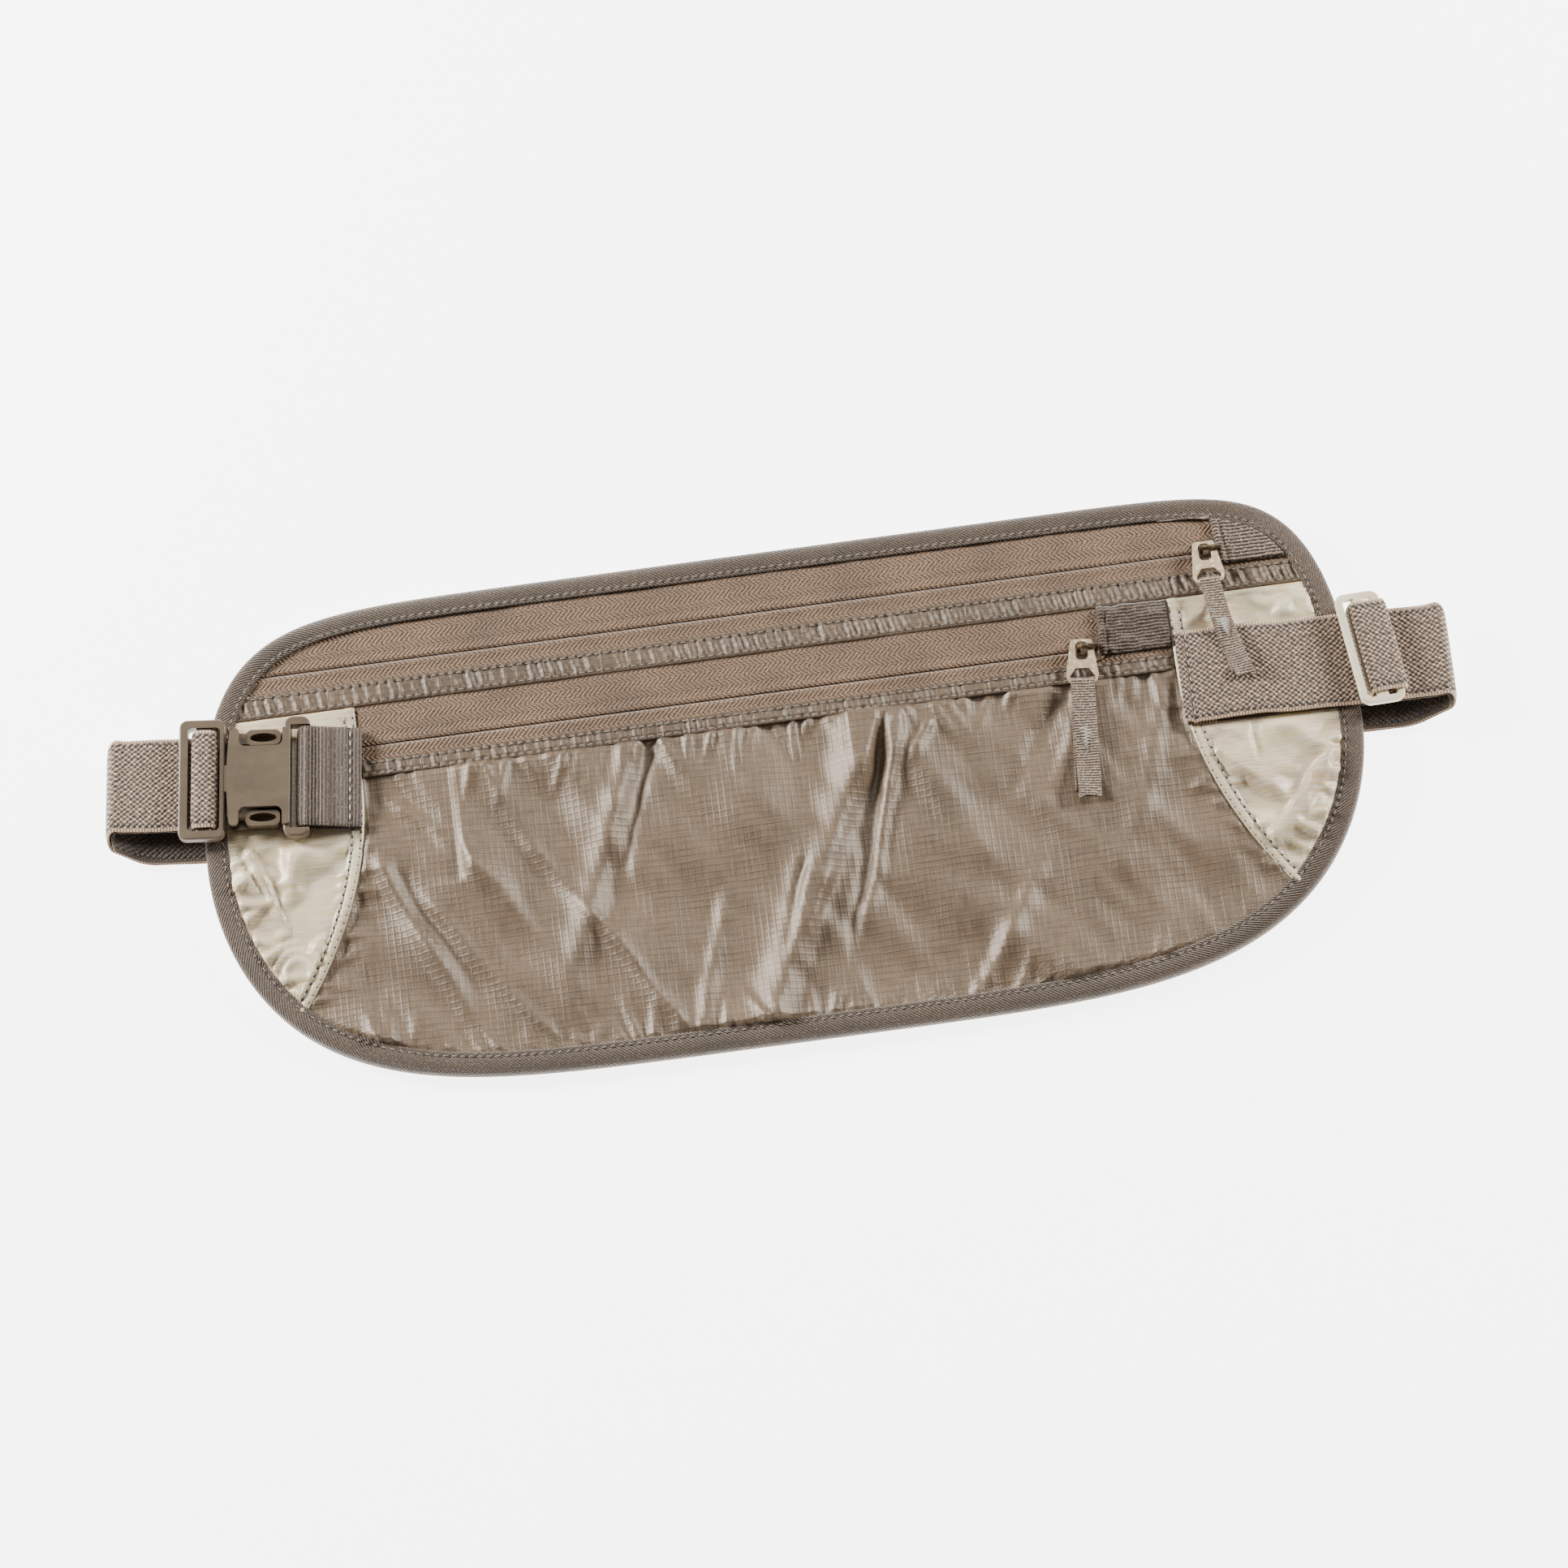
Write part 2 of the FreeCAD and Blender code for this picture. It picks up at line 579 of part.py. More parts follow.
def female_plate(z_range, notched):
    """One face of the female buckle: a plate with a curved mouth, and notches that show the pads."""
    mouth, half, end = FEMALE_MOUTH[0], FEMALE_HALF, FEMALE_BODY_END + 1
    edges = [
        Part.Arc(V(mouth, -half, 0), V(FEMALE_MOUTH[1], 0, 0), V(mouth, half, 0)).toShape(),
        Part.makeLine(V(mouth, half, 0), V(end, half, 0)),
        Part.makeLine(V(end, half, 0), V(end, -half, 0)),
        Part.makeLine(V(end, -half, 0), V(mouth, -half, 0)),
    ]
    face = Part.Face(Part.Wire(edges))
    face.translate(V(0, 0, z_range[0]))
    shape = face.extrude(V(0, 0, z_range[1] - z_range[0]))
    through = (z_range[0] - 1, z_range[1] + 1)
    for side in (-1, 1) if notched else ():
        notch = sorted((side * NOTCH_Y, side * (FEMALE_HALF + 3)))
        shape = shape.cut(rounded_block(NOTCH_X, notch, through, NOTCH_CORNER, 0))

    def on_ear(edge):
        corner = edge.Vertexes[0].Point
        return upright(edge) and abs(corner.y) > FEMALE_HALF - 0.1 and corner.x < NOTCH_X[1]

    return rounded_edges(shape, FEMALE_EAR_R, on_ear)


def female_buckle():
    """Two faces, two inner guide rails and an end frame that holds the sewn tab."""
    lower_face = female_plate((FEMALE_Z[0], FEMALE_CAVITY[0]), False)
    shape = lower_face.fuse(female_plate((FEMALE_CAVITY[1], FEMALE_Z[1]), True))
    for side in (-1, 1):
        shape = shape.fuse(block(RAIL_X, sorted((side * RAIL_Y[0], side * RAIL_Y[1])), FEMALE_Z))
    frame_x = (FEMALE_BODY_END, OUTER_BAR_X + OUTER_BAR_R + FIT_GAP)
    frame_y = (-FRAME_HALF, FRAME_HALF)
    frame = rounded_block(frame_x, frame_y, END_FRAME_Z, END_FRAME_CORNER, END_FRAME_RIM)
    opening = block((END_SLOT_X, OUTER_BAR_X + 3), (-MALE_WINDOW_HALF, MALE_WINDOW_HALF), (0, 20))
    root_x = (FEMALE_BODY_END, END_SLOT_X)
    root = rounded_block(root_x, (-FEMALE_HALF, FEMALE_HALF), FEMALE_Z, *END_ROOT_ROUNDING)
    bar_half = MALE_WINDOW_HALF + FRAME_JOIN
    bar_start = V(OUTER_BAR_X, -bar_half, BUCKLE_MID_Z)
    bar = Part.makeCylinder(OUTER_BAR_R, 2 * bar_half, bar_start, V(0, 1, 0))
    return shape.fuse(frame.cut(opening)).fuse(root).fuse(bar).removeSplitter()


def along_y(edge):
    """True for a long edge that runs along y."""
    return edge.BoundBox.YLength > 20


def male_buckle():
    """A frame with a flattened centre bar for the strap, and a tongue between the prongs."""
    frame_y = (-FRAME_HALF, FRAME_HALF)
    frame = rounded_block((MALE_LEFT, MALE_RIGHT), frame_y, MALE_Z, MALE_CORNERS[0], END_FRAME_RIM)
    window_half = (-MALE_WINDOW_HALF, MALE_WINDOW_HALF)
    window = rounded_block(MALE_WINDOW, window_half, (0, 20), MALE_CORNERS[1], 0)
    half_width, half_height = ROLL_BAR[0] / 2, ROLL_BAR[1] / 2
    bar_z = (BUCKLE_MID_Z - half_height, BUCKLE_MID_Z + half_height)
    bar_y = (-MALE_WINDOW_HALF - FRAME_JOIN, MALE_WINDOW_HALF + FRAME_JOIN)
    bar = block((ROLL_BAR_X - half_width, ROLL_BAR_X + half_width), bar_y, bar_z)
    bar = rounded_edges(bar, half_height - NEAR_ROUND, along_y)
    tongue_x = (MALE_RIGHT - FRAME_JOIN, TONGUE_END)
    tongue = rounded_block(tongue_x, (-TONGUE_HALF, TONGUE_HALF), PRONG_Z, *TONGUE_ROUNDING)
    return frame.cut(window).fuse(bar).fuse(tongue).removeSplitter()


def prong(side):
    """A sprung arm of the male buckle, with a pad that the fingers squeeze and an eye in the pad."""
    pivot_x, pivot_y = PRONG_PIVOT
    arm_end, arm_half = PRONG_ARM
    root = Part.makeCylinder(PRONG_ROOT_R, PRONG_Z[1] - PRONG_Z[0], V(pivot_x, pivot_y, PRONG_Z[0]))
    arm = block((pivot_x, arm_end), (pivot_y - arm_half, pivot_y + arm_half), PRONG_Z)
    pad = rounded_block(PAD_X, PAD_Y, PRONG_Z, PAD_CORNER, 0)
    eye = oval(PAD_EYE, PAD_EYE_HALF, (PRONG_Z[0] - 1, PRONG_Z[1] + 1))
    shape = root.fuse(arm).fuse(pad).cut(eye)
    if side < 0:
        shape = shape.mirror(V(0, 0, 0), V(0, 1, 0))
    return shape.removeSplitter()


def buckle_tab():
    """The ribbed tab that is sewn into the wing seam and turns round the female's outer bar."""
    wrap_r = OUTER_BAR_R + FIT_GAP + TAB_STRAP_THICKNESS / 2
    end_x = (TAB_END_X - BUCKLE_X) / math.cos(math.radians(BUCKLE_TURN))
    reach = end_x - OUTER_BAR_X

    def lean(rise):
        """The slope and length of the straight run from the seam to the bar."""
        distance = math.hypot(reach, rise)
        slope = math.asin(wrap_r / distance) + math.atan2(rise, reach)
        return math.degrees(slope), math.sqrt(distance**2 - wrap_r**2)

    top_slope, top_run = lean(BUCKLE_MID_Z - TAB_LAYERS[0])
    low_slope, low_run = lean(TAB_LAYERS[1] - BUCKLE_MID_Z)
    moves = [(top_run,), (wrap_r, 180 + top_slope + low_slope), (low_run,)]
    start = (end_x, TAB_LAYERS[0])
    return webbing(start, 180 - top_slope, moves, TAB_STRAP_THICKNESS, TAB_STRAP_WIDTH)


def buckle():
    """The side release buckle and the tab that holds its female half."""
    parts = {
        "buckle_female": female_buckle(),
        "buckle_male": male_buckle(),
        "buckle_prong_upper": prong(1),
        "buckle_prong_lower": prong(-1),
        "buckle_tab": buckle_tab(),
    }
    return {name: placed(shape, BUCKLE_TURN, BUCKLE_X, BUCKLE_Y) for name, shape in parts.items()}


def adjuster():
    """The sliding adjuster, tilted on the strap, and the strap's run over its centre and outer bars."""
    length, height, thickness = ADJUSTER_SIZE
    mid_z = (-thickness / 2, thickness / 2)
    outer_corner, inner_corner = ADJUSTER_CORNERS
    outer = rounded_block((-length / 2, length / 2), (-height / 2, height / 2), mid_z,
                          outer_corner, ADJUSTER_RIM)
    half_x, half_y = length / 2 - ADJUSTER_BAR, height / 2 - ADJUSTER_BAR
    frame = outer.cut(rounded_block((-half_x, half_x), (-half_y, half_y), (-5, 5), inner_corner, 0))
    half_bar = ADJUSTER_CENTRE_BAR / 2
    bar_end = half_y + FRAME_JOIN
    bar = block((-half_bar, half_bar), (-bar_end, bar_end), mid_z)
    frame = frame.fuse(rounded_edges(bar, thickness / 2 - NEAR_ROUND, along_y)).removeSplitter()
    wrap_r = thickness / 2 + FIT_GAP + STRAP_THICKNESS / 2
    near, far = (thickness - ADJUSTER_CENTRE_BAR) / 2, (length - thickness) / 2 + FIT_GAP
    moves = [(WRAP_LEG,), (wrap_r, -90), (far - near,), (wrap_r, -90), (WRAP_LEG,)]
    roll = webbing((near - wrap_r, -WRAP_LEG), 90, moves, STRAP_THICKNESS, STRAP_WIDTH)
    strap_y = BACK_RUN_Y + ADJUSTER_X * math.tan(math.radians(BACK_RUN_TURN)) + RIGHT_SHIFT
    shapes = {}
    for name, shape in (("adjuster_frame", frame), ("adjuster_strap_roll", roll)):
        shape.rotate(V(0, 0, 0), V(0, 1, 0), ADJUSTER_TILT)
        shape.translate(V(0, 0, ADJUSTER_Z))
        shapes[name] = placed(shape, ADJUSTER_LEAN, ADJUSTER_X, strap_y + ADJUSTER_RISE_Y)
    below = block((-400, 400), (-400, 400), (-50, WRAP_FOOT_Z))
    shapes["adjuster_strap_roll"] = shapes["adjuster_strap_roll"].cut(below)
    return shapes


def money_belt():
    """Every piece of the belt by name."""
    return {**pouch(), **zippers(), **strap(), **buckle(), **adjuster()}


def main():
    os.makedirs("parts", exist_ok=True)
    for name, shape in money_belt().items():
        shape.exportStep(f"parts/{name}.step")


if __name__ == "__main__":
    main()
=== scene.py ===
"""A slim money belt lying flat, its elastic strap folded behind it, seen from above its lower edge.

Lengths are millimetres until a mesh is made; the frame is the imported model's own.
"""
import bpy
import math
import random
import numpy as np
from mathutils import Matrix, Vector, noise


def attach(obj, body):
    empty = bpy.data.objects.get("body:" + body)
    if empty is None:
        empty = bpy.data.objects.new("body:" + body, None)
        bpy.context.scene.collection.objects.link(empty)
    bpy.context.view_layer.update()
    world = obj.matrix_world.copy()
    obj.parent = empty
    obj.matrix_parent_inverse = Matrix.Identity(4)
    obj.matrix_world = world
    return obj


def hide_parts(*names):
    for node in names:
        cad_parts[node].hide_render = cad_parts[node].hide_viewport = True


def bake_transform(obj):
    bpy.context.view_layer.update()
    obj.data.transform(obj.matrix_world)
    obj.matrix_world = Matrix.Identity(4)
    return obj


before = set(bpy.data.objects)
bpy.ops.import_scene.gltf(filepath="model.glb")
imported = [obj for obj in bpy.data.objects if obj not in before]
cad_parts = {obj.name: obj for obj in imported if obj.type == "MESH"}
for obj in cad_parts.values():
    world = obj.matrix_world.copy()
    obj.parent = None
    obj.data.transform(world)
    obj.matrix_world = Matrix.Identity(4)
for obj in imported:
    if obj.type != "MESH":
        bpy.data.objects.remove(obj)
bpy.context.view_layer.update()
MM = 0.001
STUDIO_LIGHT = 1.5
FLOOR_GLOW = 5.0
# Each lamp's place in metres, its power in watts and its width.
LAMPS = {"key": ((-0.85, 0.45, 0.42), 24.0, 0.3), "top": ((0.25, 0.75, 1.2), 4.0, 0.5),
         "fill": ((0.9, 0.3, 0.45), 15.0, 0.3)}
WARM_SHEEN = (1.0, 0.89, 0.74, 1.0)
FULL_TURN = 2 * math.pi

# The pouch's outline: each corner is a superellipse quarter with two exponents.
POUCH_LENGTH, POUCH_HEIGHT = 299.0, 133.0
TOP_LEFT, TOP_RIGHT = (9.0, 2.5), (12.0, 2.5)
BOTTOM_LEFT, BOTTOM_RIGHT = (5.0, 1.95), (4.5, 1.9)
PANEL_INSET, BINDING_WIDTH = 1.0, 6.0

# Heights of the layers, and the bands of the front.
BACK_Z, DIVIDER_Z, FRONT_Z, TRIM_Z, GARAGE_Z = 3.35, 3.68, 5.7, 6.1, 6.9
SEAMS, SEAM_LAP = {-1: (107.5, 0.0062, 16.0), 1: (104.2, 0.0062, 17.0)}, 3.0
PLACKET, HEM, PANEL_TOP = (38.3, 45.2), (18.6, 23.4), 21.9
UPPER_LINE, LOWER_LINE = 49.8, 27.2
DIVIDER_TOP = 41.0

# The lower half of the empty pouch sinks towards the table, where no strap lies behind it.
SINK_DEPTH, SINK_START, SINK_LENGTH = 2.25, -3.0, 46.0

# Zippers and their pulls.
UPPER_SLIDER_X, LOWER_SLIDER_X = 117.5, 82.3
# Each zipper's name, its line, and the ends of its coil.
ZIPPERS = [("upper", UPPER_LINE, (-134.0, 133.0)), ("lower", LOWER_LINE, (-104.0, 103.0))]
BRIDGE_Z, TAB_BAR, TAB_DROP, TAB_SHIFT = 9.3, 9.2, 0.95, -1.6
BARTACK_TURNS = 16
LOWER_TRAVEL, RIBBON_MID_Y, RIBBON_ROOM = 171.0, 6.0, 0.4
COIL_Z, COIL_PITCH, COIL_OFFSET, COIL_WIDE, COIL_HIGH = 5.02, 1.25, 1.55, 0.75, 0.22
GARAGE_ROLL = 2.0

# Rows of stitches along the placket and the hem, and how far apart their stitches are.
PLACKET_INSET, HEM_INSET, STITCH_LENGTH, STITCH_PITCH = 1.15, 0.95, 1.5, 2.25
NEEDLE_ROWS = (PLACKET[0] + PLACKET_INSET, PLACKET[1] - PLACKET_INSET,
               HEM[0] + HEM_INSET, HEM[1] - HEM_INSET)
# A band's stitching ends this far inside the pouch's edge, under the binding.
ROW_END = 5.5

# The elastic strap.
STRAP_WIDTH, STRAP_THICKNESS, LAYER_STEP = 25.0, 1.2, 1.3
BACK_RUN_Z, BACK_RUN_Y, BACK_RUN_TURN, BACK_RUN_END = 0.6, 12.95, -1.39, -120.0
ANCHOR_X, ANCHOR_Z, ANCHOR_HEM = 104.6, 7.6, 8.0
RIGHT_RUN_END, RIGHT_RISE, RIGHT_SHIFT, INNER_START = 168.6, (14.0, 12.0), 5.4, 152.6
LOOP_CURL_R, LOOP_SLOPE, LOOP_BEND_R = 2.1, 18.0, 22.0

# The buckle's frame, and the strap's route near it.
BUCKLE_X, BUCKLE_Y, BUCKLE_TURN, BUCKLE_MID_Z = -141.5, 21.8, -6.0, 9.2
ROLL_BAR_X, ROLL_BAR, ROLL_WIDTH = -6.25, (4.4, 1.8), 26.6
LEFT_TOP_Z, LEFT_RUN_END, LEFT_RISE, LEFT_SHIFT = 7.0, -27.0, (12.0, 10.0), 7.0
ROLL_START, LEFT_BACK_END = -10.5, 20.0
BACK_LAP, BACK_JOIN, BACK_BEND_FROM, BACK_BEND_LENGTH = 6.0, 4.0, -45.0, 80.0
TAB_END_X, TAB_LAYERS, TAB_THICKNESS, TAB_WIDTH = -107.5, (7.9, 6.85), 1.0, 27.0
OUTER_BAR = (20.0, 1.1)
ADJUSTER_X, ADJUSTER_Z, ADJUSTER_TILT, ADJUSTER_LEAN = 153.8, 10.6, 12.0, 5.7
ADJUSTER_RISE_Y, ADJUSTER_LENGTH, ADJUSTER_THICKNESS, CENTRE_BAR = 1.2, 12.0, 1.9, 3.4

# The strap's top run humps between its sewn end and the adjuster, given as where it starts to rise,
# its crest, and where it falls from and to. Stitches draw in both sewn ends.
HUMP, HUMP_HEIGHT = (110.0, 121.0, 124.0, 131.0), 0.35
GROOVE_AT, GROOVE_DEPTH = 2.6, 0.45
TAB_STEP, TAB_RIB, TAB_SMOOTH, TAB_ROW = 0.13, 0.95, 5.5, 2.8


# ---------------------------------------------------------------- shapes of the pouch
def smooth(value):
    """A smooth step from 0 to 1."""
    value = np.clip(value, 0.0, 1.0)
    return value * value * (3 - 2 * value)


def corner_of(x, y):
    """The exponents of the outline's corner in a direction."""
    if y >= 0:
        return TOP_RIGHT if x >= 0 else TOP_LEFT
    return BOTTOM_RIGHT if x >= 0 else BOTTOM_LEFT


def outline(inset, count=720):
    """One turn of the pouch's outline, moved in along its normal."""
    points = []
    for index in range(count):
        turn = FULL_TURN * index / count
        across, up = math.cos(turn), math.sin(turn)
        p, q = corner_of(across, up)
        low, high = 0.9, 1.5
        for _ in range(40):
            reach = (low + high) / 2
            if abs(reach * across) ** p + abs(reach * up) ** q < 1:
                low = reach
            else:
                high = reach
        x, y = reach * across, reach * up
        slope_x = math.copysign(p * abs(x) ** (p - 1), x) / (POUCH_LENGTH / 2)
        slope_y = math.copysign(q * abs(y) ** (q - 1), y) / (POUCH_HEIGHT / 2)
        steep = math.hypot(slope_x, slope_y)
        points.append((x * POUCH_LENGTH / 2 - inset * slope_x / steep,
                       y * POUCH_HEIGHT / 2 - inset * slope_y / steep))
    return np.array(points)


class Span:
    """The left and right ends of the pouch at each height, for one inset."""

    def __init__(self, inset):
        points = outline(inset)
        quarter = len(points) // 4
        right = np.concatenate([points[-quarter:], points[:quarter + 1]])
        left = points[quarter:3 * quarter + 1][::-1]
        self.right_x, self.right_y = right[:, 0], right[:, 1]
        self.left_x, self.left_y = left[:, 0], left[:, 1]
        self.low, self.high = points[:, 1].min(), points[:, 1].max()

    def left(self, y):
        return np.interp(y, self.left_y, self.left_x)

    def right(self, y):
        return np.interp(y, self.right_y, self.right_x)

    def holds(self, x, y):
        inside = (x > self.left(y)) & (x < self.right(y))
        return inside & (y > self.low) & (y < self.high)


EDGE = Span(PANEL_INSET)
OPEN_CLOTH = Span(BINDING_WIDTH + 0.4)
INNER_EDGE = Span(BINDING_WIDTH + 0.1)


def seam_at(side, y):
    """How far a wing's seam is from the middle."""
    near, curve, top = SEAMS[side]
    return near + curve * np.maximum(top - y, 0.0) ** 2


def beyond_seam(x, y):
    """How far a place is outside the seam on its own side."""
    return np.abs(x) - np.where(x < 0, seam_at(-1, y), seam_at(1, y))


def under_strap(x, y):
    """1 where the strap, the buckle or its tab lies on the pouch, fading to 0 around them."""
    middle = np.where(x > 0, 15.7 - 0.025 * (x - 104.0), BUCKLE_Y - 0.105 * (x - BUCKLE_X))
    half = np.where(x > 0, 12.5, 16.5)
    return smooth(1 - (np.abs(y - middle) - half - 0.5) / 3.0) * smooth((beyond_seam(x, y) + 3.5) / 2.5)


def under_ribbon(x, y):
    """1 where the lower ribbon lies, with its zipper closed or open, fading to 0 around it."""
    middle = LOWER_SLIDER_X + TAB_SHIFT
    aside = np.minimum(np.abs(x - middle), np.abs(x - middle + LOWER_TRAVEL))
    return smooth((9.0 - aside) / 4.0) * smooth((22.0 - np.abs(y - RIBBON_MID_Y)) / 5.0)


def meeting(side):
    """The height at which a wing's seam meets the pouch's edge."""
    heights = np.linspace(-60, 0, 600)
    reach = side * (EDGE.right(heights) if side > 0 else EDGE.left(heights))
    return float(heights[reach > seam_at(side, heights)].min())


MEET = {side: meeting(side) for side in (-1, 1)}


def sink(y):
    """How far the pouch sinks at a height on its front."""
    return -SINK_DEPTH * smooth((SINK_START - y) / SINK_LENGTH)


def cells(low, high, left, right, step):
    """Rows of points between two side curves, about a step apart."""
    heights = np.linspace(low, high, max(2, round((high - low) / step)) + 1)
    ends = left(heights), right(heights)
    columns = max(2, round((ends[1] - ends[0]).max() / step)) + 1
    share = np.linspace(0, 1, columns)
    x = ends[0][:, None] * (1 - share) + ends[1][:, None] * share
    return x, np.repeat(heights[:, None], columns, axis=1)


def lengths_along(points):
    """How far along a line each of its points is."""
    return np.concatenate([[0], np.cumsum(np.hypot(*np.diff(points, axis=0).T))])


def waves(x, y, size, seed, octaves=2):
    """Smooth seeded noise of about 1, of a given size in mm."""
    flat = [noise.fractal(Vector((a / size, b / size, seed)), 1.0, 2.0, octaves)
            for a, b in zip(x.ravel(), y.ravel())]
    return np.array(flat).reshape(x.shape)


BINDING_PITCH, BINDING_ROW, BINDING_FRONT = 2.25, 4.75, 5.5
# The binding's section as (distance in from the edge, height), from its back round to its front.
BINDING_PROFILE = [
    (5.3, 3.25), (5.95, 3.1), (6.0, 2.9), (5.4, 2.83), (4.6, 2.86), (3.0, 2.8), (1.4, 2.8), (0.5, 3.05),
    (0.1, 3.7), (0.0, 4.6), (0.05, 5.5), (0.4, 6.25), (1.1, 6.65), (2.2, 6.8), (3.4, 6.78), (4.3, 6.62),
    (4.75, 6.46), (5.15, 6.58), (5.65, 6.6), (5.95, 6.42), (5.98, 6.15), (5.6, 5.95),
]


ACROSS_BINDING = lengths_along(np.array(BINDING_PROFILE))
# How far along the section the stitches on the front are: at the profile's dip.
FRONT_ROW = float(ACROSS_BINDING[BINDING_PROFILE.index((BINDING_ROW, 6.46))])


# ---------------------------------------------------------------- making pieces
def build(name, points, faces, look, body="root", stands_for=(), weave=None, thick=0.0):
    """A piece from points in millimetres, riding on its body, with its weave coordinates."""
    mesh = bpy.data.meshes.new(name)
    mesh.from_pydata([tuple(point * MM) for point in np.asarray(points, float)], [], faces)
    mesh.validate()
    if weave is not None:
        layer = mesh.uv_layers.new(name="Weave")
        corners = np.zeros(len(mesh.loops), int)
        mesh.loops.foreach_get("vertex_index", corners)
        layer.data.foreach_set("uv", np.asarray(weave, float)[corners].ravel())
    mesh.shade_smooth()
    piece = bpy.data.objects.new(name, mesh)
    bpy.context.scene.collection.objects.link(piece)
    mesh.materials.append(look)
    if thick:
        solid = piece.modifiers.new("Thickness", "SOLIDIFY")
        solid.thickness = thick * MM
        solid.offset = 0.0
    if body:
        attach(piece, body)
    if stands_for:
        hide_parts(*stands_for)
    return piece


def grid_faces(rows, columns, around=False, along=False):
    """Quads of a grid; around joins its last column to its first, along its last row to its first."""
    faces = []
    for row in range(rows if along else rows - 1):
        for column in range(columns if around else columns - 1):
            one, two = row * columns, (row + 1) % rows * columns
            side = (column + 1) % columns
            faces.append((one + column, one + side, two + side, two + column))
    return faces


def tube_faces(rows, ring, first=0):
    """Faces of a tube made of rings, both its ends closed; first is its first point."""
    faces = grid_faces(rows, ring, around=True)
    faces.append(tuple(reversed(range(ring))))
    faces.append(tuple((rows - 1) * ring + index for index in range(ring)))
    return [tuple(first + index for index in face) for face in faces]


def field(name, x, y, z, look, **options):
    """A sheet from a grid of heights, woven along x and y."""
    points = np.stack([x, y, z], axis=-1).reshape(-1, 3)
    options.setdefault("thick", 0.25)
    return build(name, points, grid_faces(*x.shape), look, weave=points[:, :2], **options)


# ---------------------------------------------------------------- materials
def tone(red, green, blue):
    """The base colour that shows as these values of 0 to 255 on a flat piece in the studio's light."""
    shown = (0.84 * 2 ** ((c - 184) / 28) / STUDIO_LIGHT for c in (red, green, blue))
    return tuple(min(level, 0.92) for level in shown) + (1.0,)


class Look:
    """A procedural material, built node by node on a Principled shader."""

    def __init__(self, name, woven=True, **constants):
        self.material = bpy.data.materials.new(f"{name}_surface")
        self.material["finish"] = name
        self.material.use_nodes = True
        self.nodes = self.material.node_tree.nodes
        self.links = self.material.node_tree.links
        self.shader = self.nodes["Principled BSDF"]
        for socket, value in constants.items():
            self.shader.inputs[socket.replace("_", " ")].default_value = value
        if woven:
            self.place = self.add("ShaderNodeUVMap", uv_map="Weave").outputs[0]
        else:
            spot = self.add("ShaderNodeTexCoord").outputs["Object"]
            scaled = self.add("ShaderNodeVectorMath", spot, operation="SCALE")
            scaled.inputs["Scale"].default_value = 1 / MM
            self.place = scaled.outputs[0]
        split = self.add("ShaderNodeSeparateXYZ", self.place)
        self.u, self.v, self.w = split.outputs

    def add(self, kind, *inputs, **properties):
        node = self.nodes.new(kind)
        for name, value in properties.items():
            setattr(node, name, value)
        for socket, value in zip(node.inputs, inputs):
            self.feed(socket, value)
        return node

    def feed(self, socket, value):
        if isinstance(value, bpy.types.NodeSocket):
            self.links.new(value, socket)
        else:
            socket.default_value = value

    def maths(self, operation, *values):
        return self.add("ShaderNodeMath", *values, operation=operation).outputs[0]

    def plus(self, one, other):
        return self.maths("ADD", one, other)

    def minus(self, one, other):
        return self.maths("SUBTRACT", one, other)

    def times(self, one, other):
        return self.maths("MULTIPLY", one, other)

    def off(self, value, centre):
        """How far a value is from a centre."""
        return self.maths("ABSOLUTE", self.minus(value, centre))

    def holes(self, row, gaps):
        """Needle holes along a row, where the gaps between its stitches are: the mask for their painted
        shade.
        """
        return self.times(self.between(self.off(self.v, row), 0.6, 0.3), gaps)

    def noise(self, per_mm, detail=2.0, stretch=(1.0, 1.0, 1.0)):
        """Noise with features of about 1 / per_mm, squeezed along each axis by stretch."""
        scaled = self.add("ShaderNodeVectorMath", self.place, stretch, operation="MULTIPLY").outputs[0]
        node = self.add("ShaderNodeTexNoise", scaled)
        node.inputs["Scale"].default_value = per_mm
        node.inputs["Detail"].default_value = detail
        return node.outputs["Fac"]

    def ripple(self, coordinate, pitch):
        """A sine of a coordinate, from -1 to 1."""
        return self.maths("SINE", self.times(coordinate, FULL_TURN / pitch))

    def line(self, coordinate, pitch, sharpness):
        """Thin lines of 1, a pitch apart."""
        wave = self.maths("COSINE", self.times(coordinate, math.pi / pitch))
        return self.maths("POWER", self.maths("ABSOLUTE", wave), sharpness)

    def mix(self, share, one, other):
        node = self.nodes.new("ShaderNodeMix")
        node.data_type = "RGBA"
        self.feed(node.inputs[0], share)
        self.feed(node.inputs[6], one)
        self.feed(node.inputs[7], other)
        return node.outputs[2]

    def between(self, value, low, high, to_low=0.0, to_high=1.0):
        return self.add("ShaderNodeMapRange", value, low, high, to_low, to_high).outputs[0]

    def done(self, colour, height=None, depth=0.1, roughness=None):
        """Joins the colour, a height in millimetres of depth, and a roughness."""
        self.feed(self.shader.inputs["Base Color"], colour)
        if roughness is not None:
            self.feed(self.shader.inputs["Roughness"], roughness)
        if height is not None:
            bump = self.nodes.new("ShaderNodeBump")
            bump.inputs["Distance"].default_value = depth * MM
            self.feed(bump.inputs["Height"], height)
            self.links.new(bump.outputs[0], self.shader.inputs["Normal"])
        return self.material


